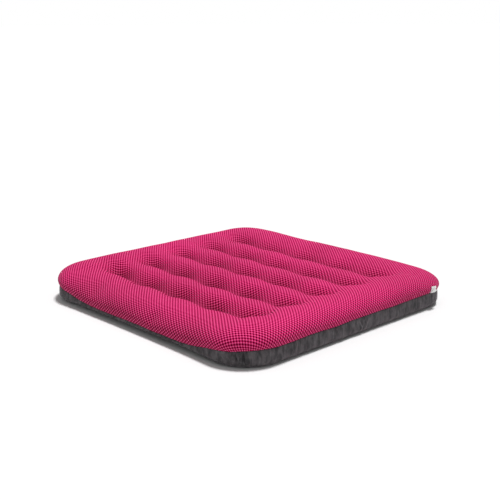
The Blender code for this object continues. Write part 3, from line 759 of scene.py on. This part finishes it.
def settle_cloth(piece, weights):
    """Let the cloth puff up between its pins. No point ends further than the cap from its start."""
    start = np.array([v.co for v in piece.data.vertices])
    group = piece.vertex_groups.new(name="pinned")
    for index in np.flatnonzero(weights):
        group.add([int(index)], float(weights[index]), "REPLACE")
    cloth = piece.modifiers.new("Cloth", "CLOTH")
    settings = cloth.settings
    settings.quality = 7
    settings.mass = 0.2
    settings.tension_stiffness = 20
    settings.compression_stiffness = 15
    settings.shear_stiffness = 8
    settings.bending_stiffness = 20
    settings.air_damping = 3
    settings.use_pressure = True
    settings.uniform_pressure_force = PUFF_PRESSURE
    settings.shrink_min = CLOTH_SLACK
    settings.vertex_group_mass = group.name
    settings.effector_weights.gravity = 0
    cloth.collision_settings.use_collision = False
    scene = bpy.context.scene
    cloth.point_cache.frame_start = 1
    cloth.point_cache.frame_end = PUFF_FRAMES
    for step in range(1, PUFF_FRAMES + 1):
        scene.frame_set(step)
    graph = bpy.context.evaluated_depsgraph_get()
    settled = np.array([v.co for v in piece.evaluated_get(graph).data.vertices])
    piece.modifiers.remove(cloth)
    piece.vertex_groups.remove(group)
    scene.frame_set(1)
    move = settled - start
    length = np.linalg.norm(move, axis=1, keepdims=True)
    return start + move * np.minimum(1.0, PUFF_CAP / np.maximum(length, 1e-9))


def top_points(plan, reach, height):
    """The top's surface before it puffs up."""
    x, y = plan.place(reach[plan.step])
    drop = front_drop(plan.weight, y)
    near_seam = smooth(BORDER_STEPS - SEAM_STEPS, BORDER_STEPS, plan.step)
    uneven = spread_noise(x, y, scale=16, seed=7.7) * UNEVEN_HEIGHT
    inner = (uneven - rear_sink(x, y)) * (1 - near_seam)
    z = height[plan.step] - quilt_depth(x, y) - drop + seam_wave(x, y) * near_seam + inner
    return point_rows(x, y, z)


def lay_flat(cover, plan, length):
    """A UV map that holds each point's place on the unrolled cloth, in metres."""
    flat_x, flat_y = plan.place(length[plan.step])
    flat = np.stack([flat_x, flat_y], -1).reshape(-1, 2)
    layer = cover.data.uv_layers.new(name="flat")
    corners = np.zeros(len(cover.data.loops), dtype=int)
    cover.data.loops.foreach_get("vertex_index", corners)
    layer.data.foreach_set("uv", flat[corners].ravel())


def make_top():
    """The quilted air-mesh top. Returns its plan and its outer surface, for what lies beneath."""
    values_x = quilt_values(INNER_X, FIELD_X, PITCH_X, CELLS_PER_PITCH)
    values_y = quilt_values(INNER_Y, FIELD_Y, PITCH_Y, CELLS_PER_PITCH)
    plan = Plan(values_x, values_y, BORDER_STEPS)
    reach, height, length = bolster_profile()
    points = top_points(plan, reach, height)
    cover = mesh_object("air_mesh_cover", points, plan.faces(), AIR_MESH)
    lay_flat(cover, plan, length)
    points = settle_cloth(cover, valley_pins(plan))
    cover.data.vertices.foreach_set("co", points.ravel())
    subdivide = cover.modifiers.new("finer", "SUBSURF")
    subdivide.levels = 1
    subdivide.render_levels = 1
    add_thickness(cover, COVER_THICKNESS, -1)
    apply_modifiers(cover)
    finish_piece(cover, "top_cover")
    return plan, points


def grid_normals(points, shape):
    """Unit normals of a grid surface, one for each point."""
    grid = points.reshape(*shape, 3)
    normal = np.cross(np.gradient(grid, axis=0), np.gradient(grid, axis=1))
    normal /= np.maximum(np.linalg.norm(normal, axis=-1, keepdims=True), 1e-12)
    return normal.reshape(-1, 3)


# ---------------------------------------------------------------- inside the case

def tuft_centres():
    """Each tuft's label and the centre of its tie."""
    for row in range(1, ROWS + 1):
        for column in range(1, COLUMNS + 1):
            yield f"r{row}_c{column}", node_centre(f"tuft_tie_r{row}_c{column}")


def holed(faces, points):
    """Leave out the faces round each tuft, where the tie goes through."""
    centres = [(centre.x, centre.y) for _, centre in tuft_centres()]
    corner = np.array(points)[:, :2]
    middle = np.array([corner[list(face)].mean(0) for face in faces])
    clear = np.ones(len(faces), bool)
    for x, y in centres:
        clear &= np.hypot(middle[:, 0] - x, middle[:, 1] - y) > TIE_GAP
    return [face for face, keep in zip(faces, clear) if keep]


def closed_between(name, plan, top, bottom, limit, material):
    """A solid between two surfaces over the plan, out to a border step, with holes for the ties."""
    keep = plan.step.ravel() <= limit
    upper = holed([face for face in plan.faces() if keep[list(face)].all()], bottom)
    count = len(top)
    lower = [tuple(i + count for i in reversed(face)) for face in upper]
    edges = [edge for face in upper for edge in zip(face, face[1:] + face[:1])]
    rim = set(edges) - {(b, a) for a, b in edges}
    walls = [(b, a, a + count, b + count) for a, b in sorted(rim)]
    faces = upper + lower + walls
    used = sorted({i for face in faces for i in face})
    place = {old: new for new, old in enumerate(used)}
    points = np.concatenate([top, bottom])[used]
    return mesh_object(name, points, [tuple(place[i] for i in face) for face in faces], material)


def deck(plan, reach_limit, height):
    """A level over the foam, from the middle out to a reach, that slopes with the front."""
    x, y = plan.place(plan.step * reach_limit / BORDER_STEPS)
    z = height - front_drop(plan.weight, y)
    return point_rows(x, y, z)


def make_quilt_fill(plan, surface):
    """Polyester fibre between the backing and the top, thin at the tufts."""
    clearance = COVER_THICKNESS + 0.7 * MM
    thinnest = 0.6 * MM
    inward = surface - grid_normals(surface, plan.shape) * clearance
    lower = deck(plan, FILL_REACH, FILL_BOTTOM)
    lumps = spread_noise(inward[:, 0], inward[:, 1], scale=90, seed=1.3) * 0.5 * MM
    inward[:, 2] = np.maximum(inward[:, 2] - np.abs(lumps), lower[:, 2] + thinnest)
    fill = closed_between("fibre_fill", plan, inward, lower, BORDER_STEPS - 1, FIBRE)
    finish_piece(fill, "quilt_fill")


def make_backing(plan):
    """The scrim that the fibre is quilted to."""
    upper = deck(plan, BACKING_REACH, BACKING_TOP)
    lower = upper - np.array([0, 0, BACKING_THICKNESS])
    backing = closed_between("scrim_backing", plan, upper, lower, BORDER_STEPS, SCRIM)
    finish_piece(backing, "quilt_backing")


def foam_half(plan, steps, height, side):
    """The slab's upper (side 1) or lower (side -1) surface, out to half way down its round edge."""
    turn = np.linspace(0, 1, steps + 1)
    edge = np.clip((turn - 0.5) * 2, 0, 1) * math.pi / 2
    flat_reach = FOAM_REACH - FOAM_ROUNDING
    reach = np.where(turn <= 0.5, turn * 2 * flat_reach, flat_reach + FOAM_ROUNDING * np.sin(edge))
    level = height - side * FOAM_ROUNDING * (1 - np.cos(edge))
    level = np.where(turn == 1, (FOAM_TOP + FOAM_BOTTOM) / 2, level)[plan.step]
    x, y = plan.place(reach[plan.step])
    share = (level - FOAM_BOTTOM) / (FOAM_TOP - FOAM_BOTTOM)
    sink = front_drop(plan.weight, y) * share
    rise = front_lift(plan.weight, reach[plan.step]) * (1 - share)
    dents = np.abs(spread_noise(x, y, scale=120, seed=side * 5.5)) * 0.5 * MM
    z = level - sink + rise - side * dents * (plan.step < steps)
    return point_rows(x, y, z)


def make_foam():
    """The slab: a round-edged block with the cut cells of the foam on its faces."""
    steps = 8
    plan = Plan(np.linspace(-INNER_X, INNER_X, 60), np.linspace(-INNER_Y, INNER_Y, 56), steps)
    top = foam_half(plan, steps, FOAM_TOP, 1)
    bottom = foam_half(plan, steps, FOAM_BOTTOM, -1)
    upper = plan.faces()
    lower = [tuple(i + len(top) for i in reversed(face)) for face in upper]
    foam = mesh_object("foam_slab", np.concatenate([top, bottom]), upper + lower, FOAM)
    weld(foam)
    finish_piece(foam, "foam_core")


def tie_shank(foot, tall, turn):
    """The thread's way up from the knot, swaying a little."""
    steps = 12
    margin = 0.3 * MM
    path = []
    for k in range(steps + 1):
        height = margin + (tall - 2 * margin) * k / steps
        path.append(foot + Vector((0, 0, height)) + round_about(turn + k * 1.1, 0.25 * MM))
    return path


def tie_knot(foot, turn):
    """Two loose turns of thread under the backing."""
    steps = 30
    path = []
    for k in range(steps + 1):
        angle = 4 * math.pi * k / steps + turn
        spread = (1.35 + 0.45 * math.sin(angle * 1.5)) * MM
        height = (0.4 + 0.12 * math.cos(angle * 1.5)) * MM
        path.append(foot + Vector((0, 0, height)) + round_about(angle, spread))
    return path


def tie_tack(head, angle, level):
    """One strand of the tack across the dimple, arched, with its ends dipping into the cloth."""
    path = []
    for k in range(9):
        share = k / 4 - 1
        rise = (0.5 - 1.3 * share ** 4) * MM + level
        path.append(head + Vector((0, 0, rise)) + round_about(angle, share * 2.4 * MM))
    return path


def make_ties():
    """One thread at each tuft: a knot under the backing, a shank, and crossed strands in the dimple."""
    chance = random.Random(25)
    for label, centre in tuft_centres():
        name = "tuft_tie_" + label
        low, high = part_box(name)
        drop = float(front_drop(front_weight(centre.x, centre.y, 0.0), centre.y))
        foot = Vector((centre.x, centre.y, low.z - drop))
        head = Vector((centre.x, centre.y, high.z - drop))
        turn = chance.uniform(0, math.pi)
        parts = Parts()
        parts.add_tube(tie_shank(foot, high.z - low.z, turn), TIE_RADIUS, 6)
        parts.add_tube(tie_knot(foot, turn), 0.3 * MM, 6)
        for strand in range(3):
            tack = tie_tack(head, turn + strand * math.pi / 3, strand * 0.18 * MM)
            parts.add_tube(tack, TIE_RADIUS * 0.8, 6)
        finish_piece(parts.make("tie_" + label, TIE_THREAD), name)


# ---------------------------------------------------------------- the case

def walk_outline(spacing, rear):
    """Stations round the plan from the rear right corner to the rear left one, or all the way."""
    corners = (
        (-INNER_X, INNER_Y, 90),
        (-INNER_X, -INNER_Y, 180),
        (INNER_X, -INNER_Y, 270),
        (INNER_X, INNER_Y, 0),
    )
    turns = round(CORNER * math.pi / 2 / spacing)
    stations = []
    for k, (x, y, start) in enumerate(corners):
        for step in range(turns + 1):
            angle = math.radians(start + 90 * step / turns)
            stations.append((x, y, math.cos(angle), math.sin(angle)))
        if k == 3 and not rear:
            break
        next_x, next_y, _ = corners[(k + 1) % 4]
        angle = math.radians(start + 90)
        count = round(math.hypot(next_x - x, next_y - y) / spacing)
        for step in range(1, count):
            share = step / count
            place = (x + (next_x - x) * share, y + (next_y - y) * share)
            stations.append((*place, math.cos(angle), math.sin(angle)))
    return np.array(stations)


def near_corner_distance(stations):
    """Distance along the band from the middle of the front left corner, positive towards the rear."""
    x = stations[:, 0] + stations[:, 2] * SEAM_REACH
    y = stations[:, 1] + stations[:, 3] * SEAM_REACH
    along = np.concatenate([[0], np.cumsum(np.hypot(np.diff(x), np.diff(y)))])
    corner = (stations[:, 0] > 0) & (stations[:, 1] < 0) & (stations[:, 2] > 0)
    middle = np.argmin(np.where(corner, np.abs(stations[:, 2] + stations[:, 3]), 9.0))
    return along - along[middle]


def creases():
    """Folds in the band: place, slant, width, depth (negative for a ridge), and the heights it spans."""
    folds = list(SHOWN_CREASES)
    chance = random.Random(7)
    place = -0.80
    while place < 0.80:
        place += chance.uniform(0.012, 0.055)
        low = chance.uniform(0.0, 0.4)
        folds.append((
            place,
            chance.uniform(-0.9, 0.9),
            chance.uniform(1.6, 4.5) * MM,
            chance.uniform(-0.6, 0.9) * MM,
            low,
            low + chance.uniform(0.4, 0.8),
        ))
    return folds


def band_relief(along, share):
    """How far the folds stand out from the band's smooth shape, by place along it and height share."""
    relief = np.zeros(np.broadcast(along, share).shape)
    for place, slant, width, depth, low, high in creases():
        offset = (along - place - slant * (share - 0.5) * SEAM_Z) / width
        reach = smooth(low - 0.15, low + 0.1, share) * (1 - smooth(high - 0.1, high + 0.15, share))
        fold = -np.exp(-offset ** 2) + 0.55 * np.exp(-((offset - 1.7) / 1.1) ** 2)
        relief += depth * fold * reach
    return relief


def band_profile():
    """Reach and height share of the band, from its lip under the cushion up to the seam."""
    curl_start = LIP_REACH + LIP_WIDTH
    points = [(LIP_REACH, 0.0), (curl_start, 0.0)]
    curl_steps = 8
    for k in range(1, curl_steps):
        angle = math.pi / 2 * k / curl_steps
        points.append((curl_start + CURL_REACH * math.sin(angle), CURL_SHARE * (1 - math.cos(angle))))
    side_steps = 10
    for k in range(side_steps + 1):
        share = k / side_steps
        bulge = BAND_BULGE * math.cos(math.pi * share / 2.2) ** 0.8
        points.append((SEAM_REACH + bulge, CURL_SHARE + (1 - CURL_SHARE) * share))
    tuck = [(SEAM_REACH - 0.9 * MM, 1.0), (SEAM_REACH - 2.6 * MM, 0.985)]
    return np.array(points + tuck)


def band_surface(stations, along, profile):
    """The band's outer surface as a grid of stations by profile points."""
    anchor_x, anchor_y, direction_x, direction_y = stations.T[:, :, None]
    plain_reach, share = profile.T[:, None, :]
    weight = front_weight(anchor_x, anchor_y, direction_x)
    rear = rear_weight(anchor_x, anchor_y, direction_x)
    squeeze = 1 - weight * (FRONT_DROP + FRONT_LIFT) / SEAM_Z
    freedom = smooth(0.0, 0.3, share) * (1 - smooth(0.82, 1.0, share)) * (1 - rear) * squeeze
    seam_x = anchor_x + direction_x * SEAM_REACH
    seam_y = anchor_y + direction_y * SEAM_REACH
    billow = spread_noise(seam_x, seam_y, scale=30, seed=9.9) * 0.9 * MM
    reach = plain_reach - rear * np.maximum(plain_reach - CORNER, 0.0)
    reach = reach + (band_relief(along[:, None], share) + billow) * freedom
    x = anchor_x + direction_x * reach
    y = anchor_y + direction_y * reach
    tall = (SEAM_Z - BAND_FOOT) * squeeze
    z = BAND_FOOT + front_lift(weight, reach) + share * tall + seam_wave(seam_x, seam_y) * share ** 2
    return np.stack([x, y, z], -1)


def make_side_band():
    """The band round the front, the sides and the rear corners, as far as the zip's bands."""
    stations = walk_outline(BAND_SPACING, rear=False)
    surface = band_surface(stations, near_corner_distance(stations), band_profile())
    rows, columns, _ = surface.shape
    band = mesh_object("case_side_band", surface.reshape(-1, 3), lattice(rows, columns), CASE_FABRIC)
    add_thickness(band, CASE_THICKNESS, -1)
    apply_modifiers(band)
    finish_piece(band, "side_band")


def rounded_section(low, high, radius):
    """A closed (y, z) section of a box, with round corners."""
    corners = (
        (high.y - radius, high.z - radius, 0),
        (low.y + radius, high.z - radius, 90),
        (low.y + radius, low.z + radius, 180),
        (high.y - radius, low.z + radius, 270),
    )
    steps = 3
    points = []
    for y, z, start in corners:
        for step in range(steps + 1):
            angle = math.radians(start + 90 * step / steps)
            points.append((y + radius * math.cos(angle), z + radius * math.sin(angle)))
    return points


def add_beam(parts, section, places, wobble, seed):
    """A closed (y, z) section drawn along X through the given places."""
    rings = []
    for x in places:
        sway = noise.noise(Vector((x * 60, seed, 0.5))) * wobble
        rings += [(x, y + sway, z + sway * 0.6) for y, z in section]
    parts.add_loft(rings, len(section))


def curl(y, z, reach, rise):
    """A quarter turn out and up from a low (y, z) point."""
    angles = np.linspace(0, math.pi / 2, 12)
    return [(y + reach * math.sin(angle), z + rise * (1 - math.cos(angle))) for angle in angles]


def make_rear_bands():
    """The flat strip above the zip, and the strip below it that curls under the cushion."""
    low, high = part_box("rear_band_upper")
    places = np.linspace(low.x, high.x, 220)
    wobble = 0.35 * MM
    upper = Parts()
    add_beam(upper, rounded_section(low, high, 0.65 * MM), places, wobble, 4.4)
    finish_piece(upper.make("case_rear_upper", CASE_FABRIC), "rear_band_upper")

    low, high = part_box("rear_band_lower")
    reach = high.y - low.y
    rise = high.z - low.z
    outer = curl(low.y, low.z, reach, rise * 0.96)
    inner = curl(low.y, low.z + CASE_THICKNESS, reach - CASE_THICKNESS, rise - CASE_THICKNESS)
    hem = [(high.y - 0.25 * MM, high.z - 0.05 * MM), (high.y - 0.75 * MM, high.z + 0.1 * MM)]
    lower = Parts()
    add_beam(lower, outer + hem + inner[::-1], places, wobble, 8.8)
    finish_piece(lower.make("case_rear_lower", CASE_FABRIC), "rear_band_lower")


def make_end_tabs():
    """Small folded tabs of case fabric past the ends of the zip, domed and pinched at their ends."""
    count = 14
    for side in ("left", "right"):
        low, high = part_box("zip_end_tab_" + side)
        middle = (low + high) / 2
        half = (high - low) / 2
        section = rounded_section(low, high, 0.6 * MM)
        rings = []
        for k in range(count):
            share = -math.cos(math.pi * k / (count - 1))
            pinch = 1 - 0.12 * abs(share) ** 6
            for y, z in section:
                level = (z - middle.z) / half.z
                dome_height = 0.35 * MM * (1 - share ** 2) * (1 - level ** 2) * (y > high.y - MM)
                place = (middle.x + share * half.x, y + dome_height, middle.z + (z - middle.z) * pinch)
                rings.append(place)
        parts = Parts()
        parts.add_loft(rings, len(section))
        finish_piece(parts.make("case_tab_" + side, CASE_FABRIC), "zip_end_tab_" + side)


def add_stitches(parts, path, outward, length, gap):
    """A row of stitches along a path, each a short arch of thread that dips in at both ends."""
    path = np.array(path)
    along = np.concatenate([[0], np.cumsum(np.linalg.norm(np.diff(path, axis=0), axis=1))])
    arch = ((0.0, -0.35), (0.12, 0.12), (0.5, 0.3), (0.88, 0.12), (1.0, -0.35))
    for start in np.arange(gap, along[-1] - length, length + gap):
        points = []
        for share, rise in arch:
            at = start + length * share
            place = [np.interp(at, along, path[:, axis]) for axis in range(3)]
            points.append(Vector(place) + Vector(outward) * rise * MM)
        parts.add_tube(points, STITCH_RADIUS, 5)


def make_stitching():
    """Topstitching along the zip's bands, round its end tabs and round the underside panel."""
    parts = Parts()
    back = (0, 1, 0)
    upper_low, upper_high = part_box("rear_band_upper")
    lower_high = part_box("rear_band_lower")[1]
    face = upper_high.y
    places = np.linspace(-INNER_X + 2 * MM, INNER_X - 2 * MM, 120)
    for height in (upper_low.z + 1.1 * MM, lower_high.z - 1.0 * MM):
        add_stitches(parts, [(x, face, height) for x in places], back, 3.0 * MM, 1.1 * MM)
    for side, inset in (("left", 1.8 * MM), ("right", -1.8 * MM)):
        low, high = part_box("zip_end_tab_" + side)
        x = (low.x if side == "left" else high.x) + inset
        heights = np.linspace(low.z + MM, high.z - MM, 12)
        add_stitches(parts, [(x, face + 0.05 * MM, z) for z in heights], back, 2.2 * MM, 1.1 * MM)
    stations = walk_outline(3 * MM, rear=True)
    anchor_x, anchor_y, direction_x, direction_y = stations.T
    x = anchor_x + direction_x * HEM_REACH
    y = anchor_y + direction_y * HEM_REACH
    z = PANEL_FOOT + front_lift(front_weight(anchor_x, anchor_y, direction_x), HEM_REACH)
    hem = point_rows(x, y, z)
    add_stitches(parts, np.concatenate([hem, hem[:1]]), (0, 0, -1), 3.2 * MM, 1.3 * MM)
    parts.make("case_topstitching", CASE_THREAD)


def panel_height(x, y, weight, reach):
    """The underside's height: nearly flat, a little slack, and curled up at the front."""
    ripple = np.abs(spread_noise(x, y, scale=22, seed=6.2))
    swell = np.abs(spread_noise(x, y, scale=7, seed=2.2))
    inside = 1 - smooth(HEM_REACH - 8 * MM, PANEL_REACH, reach)
    return PANEL_FOOT + front_lift(weight, reach) + (ripple + swell) * 0.5 * MM * inside


def make_underside():
    """The panel under the cushion, with raised grip dots."""
    steps = 10
    plan = Plan(np.linspace(-INNER_X, INNER_X, 66), np.linspace(-INNER_Y, INNER_Y, 61), steps)
    reach = plan.step * PANEL_REACH / steps
    x, y = plan.place(reach)
    points = point_rows(x, y, panel_height(x, y, plan.weight, reach))
    panel = mesh_object("case_underside", points, plan.faces(), CASE_FABRIC)
    add_thickness(panel, PANEL_THICKNESS, 1)
    apply_modifiers(panel)
    finish_piece(panel, "bottom_cover")
    make_grip_dots()


def make_grip_dots():
    """Low rubber domes in staggered rows over the underside, inside its hem."""
    dots = Parts()
    rows = int(2 * (INNER_Y + HEM_REACH - 6 * MM) / DOT_PITCH) + 1
    columns = int(2 * (INNER_X + HEM_REACH - 6 * MM) / DOT_PITCH) + 1
    for row in range(rows):
        for column in range(columns):
            x = (column - (columns - 1) / 2 + 0.5 * (row % 2)) * DOT_PITCH
            y = (row - (rows - 1) / 2) * DOT_PITCH
            out_x = max(abs(x) - INNER_X, 0.0)
            out_y = max(abs(y) - INNER_Y, 0.0)
            reach = math.hypot(out_x, out_y)
            if reach <= HEM_REACH - 5 * MM:
                dots.add(*dome(x, y, dot_height(x, y, out_x, reach)))
    dots.make("grip_dots", GRIP)


def dot_height(x, y, out_x, reach):
    """The panel's height where a dot sits. It curls up only in front of the inner rectangle."""
    weight = 0.0
    if y < -INNER_Y:
        anchor_x = math.copysign(min(abs(x), INNER_X), x)
        weight = float(front_weight(anchor_x, -INNER_Y, math.copysign(out_x, x) / reach))
    return float(panel_height(x, y, weight, reach))


def dome(x, y, z):
    """Points and faces of one grip dot, which hangs below a place on the panel."""
    around = 10
    points = []
    for radius, drop in ((DOT_RADIUS, -0.25), (DOT_RADIUS, 0.2), (DOT_RADIUS * 0.72, 0.58)):
        for k in range(around):
            angle = 2 * math.pi * k / around
            points.append((x + radius * math.cos(angle), y + radius * math.sin(angle), z - drop * MM))
    tip = len(points)
    last = tip - around
    points.append((x, y, z - 0.7 * MM))
    faces = lattice(3, around, close_columns=True)
    faces.append(tuple(range(around)))
    faces += [(last + k, last + (k + 1) % around, tip) for k in range(around)]
    return points, faces


# ---------------------------------------------------------------- the zip

def make_zip_tapes():
    """The two woven tapes: ribbed in front, with a bead beside the coil, and flat behind."""
    ribs = 15
    for side, sign in (("upper", 1), ("lower", -1)):
        low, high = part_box("zip_tape_" + side)
        inner, outer = (low.z, high.z) if sign > 0 else (high.z, low.z)
        front = []
        back = []
        for k in range(ribs):
            share = k / (ribs - 1)
            z = inner + (outer - inner) * share
            bead = 0.25 * MM * math.exp(-((share - 0.06) / 0.07) ** 2)
            rib = 0.07 * MM * (k % 2)
            front.append((high.y - 0.2 * MM + rib + bead, z))
            back.append((low.y, z))
        parts = Parts()
        places = np.linspace(low.x, high.x, 300)
        add_beam(parts, front + back[::-1], places, 0.12 * MM, 3.0 * sign)
        tape = parts.make("zip_tape_woven_" + side, ZIP_TAPE)
        finish_piece(tape, "zip_tape_" + side)


def make_zip_coils():
    """Each side's teeth are one nylon wire wound into flat loops, half a loop apart."""
    per_loop = 10
    for side, sign in (("upper", 1), ("lower", -1)):
        low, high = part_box("zip_coil_" + side)
        middle = (low + high) / 2
        half = (high - low) / 2
        half_y = half.y - COIL_WIRE
        half_z = half.z - COIL_WIRE + 0.25 * MM
        loops = int((high.x - low.x - 2 * COIL_WIRE) / COIL_PITCH)
        start = low.x + COIL_WIRE + (COIL_PITCH / 2 if sign < 0 else 0)
        points = []
        for k in range((loops - 1) * per_loop + 1):
            angle = 2 * math.pi * k / per_loop
            y = middle.y + half_y * math.sin(angle)
            z = middle.z + half_z * squared(math.cos(angle), 0.7) * sign
            points.append(Vector((start + COIL_PITCH * k / per_loop, y, z)))
        parts = Parts()
        parts.add_tube(points, COIL_WIRE, 5)
        coil = parts.make("zip_teeth_" + side, ZIP_COIL)
        finish_piece(coil, "zip_coil_" + side)


def make_zip_stops():
    """Crimped metal stops: rounded blocks with a waist."""
    count = 13
    around = 16
    for name in ("zip_top_stop_upper", "zip_top_stop_lower", "zip_bottom_stop"):
        low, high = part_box(name)
        middle = (low + high) / 2
        half = (high - low) / 2
        rings = []
        for k in range(count):
            share = -math.cos(math.pi * k / (count - 1))
            waist = 1 - 0.16 * math.exp(-(share / 0.25) ** 2)
            swell = (1 - 0.35 * abs(share) ** 5) * waist
            for turn in range(around):
                angle = 2 * math.pi * turn / around
                y = squared(math.cos(angle), 0.6) * half.y * swell
                z = squared(math.sin(angle), 0.6) * half.z * swell
                rings.append(middle + Vector((share * half.x, y, z)))
        parts = Parts()
        parts.add_loft(rings, around)
        stop = parts.make(name.replace("zip_", "zip_crimped_"), ZIP_METAL)
        finish_piece(stop, name)


def finish_slider_and_pull():
    """The slider and pull keep their shape and get rounded edges."""
    for name in ("zip_slider", "zip_pull"):
        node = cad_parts[name]
        node.data.materials.clear()
        node.data.materials.append(ZIP_METAL)
        joined = node.modifiers.new("joined", "WELD")
        joined.merge_threshold = 0.01 * MM
        bevel = node.modifiers.new("rounded", "BEVEL")
        bevel.width = 0.18 * MM
        bevel.segments = 2
        bevel.limit_method = "ANGLE"
        bevel.angle_limit = math.radians(40)


# ---------------------------------------------------------------- the label

def make_label():
    """A woven tape folded at the seam. The short ply curls away from the long one.

    The spine holds its reach and height in millimetres, from the long ply's end to the short one's.
    """
    direction = round_about(LABEL_ANGLE)
    sideways = Vector((-direction.y, direction.x, 0))
    anchor = Vector((INNER_X, INNER_Y, 0))
    spine = (
        (60.1, 33.2), (60.6, 31.6), (60.7, 30.0), (60.4, 28.4), (59.8, 26.8), (59.1, 25.4), (58.4, 24.3),
        (58.2, 23.6), (58.7, 23.3), (59.3, 23.9), (60.1, 25.0), (61.1, 26.3), (62.2, 27.5), (63.2, 28.3),
    )
    across = 15
    bow = 1.6
    slope = 1.5
    points = []
    for number, (reach, height) in enumerate(spine):
        for k in range(across):
            share = k / (across - 1) - 0.5
            flutter = 0.25 * math.sin(share * 7 + number * 0.35)
            out = (reach + flutter - bow * share ** 2) * MM
            place = anchor + direction * out + sideways * share * LABEL_WIDTH
            points.append((place.x, place.y, (height - slope * share) * MM))
    label = mesh_object("label_tape", points, lattice(len(spine), across), LABEL)
    subdivide = label.modifiers.new("finer", "SUBSURF")
    subdivide.levels = 1
    subdivide.render_levels = 1
    add_thickness(label, LABEL_PLY, 0)
    apply_modifiers(label)
    finish_piece(label, "label")


# ---------------------------------------------------------------- camera, floor and lights

def look(position, target, roll=0.0):
    """The placing of a camera or light that looks from a position to a target."""
    back = (Vector(position) - Vector(target)).normalized()
    right = Vector((0, 0, 1)).cross(back).normalized()
    up = back.cross(right)
    turn = Matrix((right, up, back)).transposed().to_4x4()
    return Matrix.Translation(position) @ turn @ Matrix.Rotation(roll, 4, "Z")


def make_camera():
    """The photo's camera, low over the front left corner."""
    azimuth = math.radians(46.9)
    elevation = math.radians(14.5)
    distance = 1.476
    target = Vector((-0.1222, 0.1222, 0.0293))
    sideways = round_about(azimuth - math.pi / 2, math.cos(elevation))
    back = sideways + Vector((0, 0, math.sin(elevation)))
    data = bpy.data.cameras.new("camera")
    data.lens = 63.1
    data.sensor_width = 36
    data.clip_start = 0.01
    camera = place_object("camera", data)
    camera.matrix_world = look(target + back * distance, target, math.radians(-0.3))
    bpy.context.scene.camera = camera


def make_floor():
    """A pale floor that runs out of sight."""
    size = 150.0
    corners = [(-size, -size, 0), (size, -size, 0), (size, size, 0), (-size, size, 0)]
    mesh = bpy.data.meshes.new("floor")
    mesh.from_pydata(corners, [], [(0, 1, 2, 3)])
    mesh.materials.append(floor_material())
    place_object("floor", mesh)


def make_sun():
    """One soft light from above and a little behind, even over the cushion and the floor."""
    data = bpy.data.lights.new("key", "SUN")
    data.energy = SUN_STRENGTH
    data.angle = SUN_SPREAD
    place_object("key", data).matrix_world = look(SUN_PLACE, (0, 0, 0))


def make_world():
    """A pale studio: white behind the floor, and a weaker even light on everything."""
    world = bpy.data.worlds.new("studio")
    world.use_nodes = True
    tree = world.node_tree
    background = tree.nodes["Background"]
    path = tree.nodes.new("ShaderNodeLightPath")
    strength = tree.nodes.new("ShaderNodeMapRange")
    strength.inputs["To Min"].default_value = AMBIENT
    strength.inputs["To Max"].default_value = 1.0
    tree.links.new(path.outputs["Is Camera Ray"], strength.inputs["Value"])
    tree.links.new(strength.outputs["Result"], background.inputs["Strength"])
    background.inputs["Color"].default_value = (1, 1, 1, 1)
    bpy.context.scene.world = world
    bpy.context.scene.view_settings.view_transform = "Standard"


# ---------------------------------------------------------------- everything

make_camera()
make_floor()
make_world()
make_sun()
top_plan, top_surface = make_top()
make_quilt_fill(top_plan, top_surface)
make_backing(top_plan)
make_foam()
make_ties()
make_side_band()
make_rear_bands()
make_end_tabs()
make_underside()
make_stitching()
make_zip_tapes()
make_zip_coils()
make_zip_stops()
finish_slider_and_pull()
make_label()
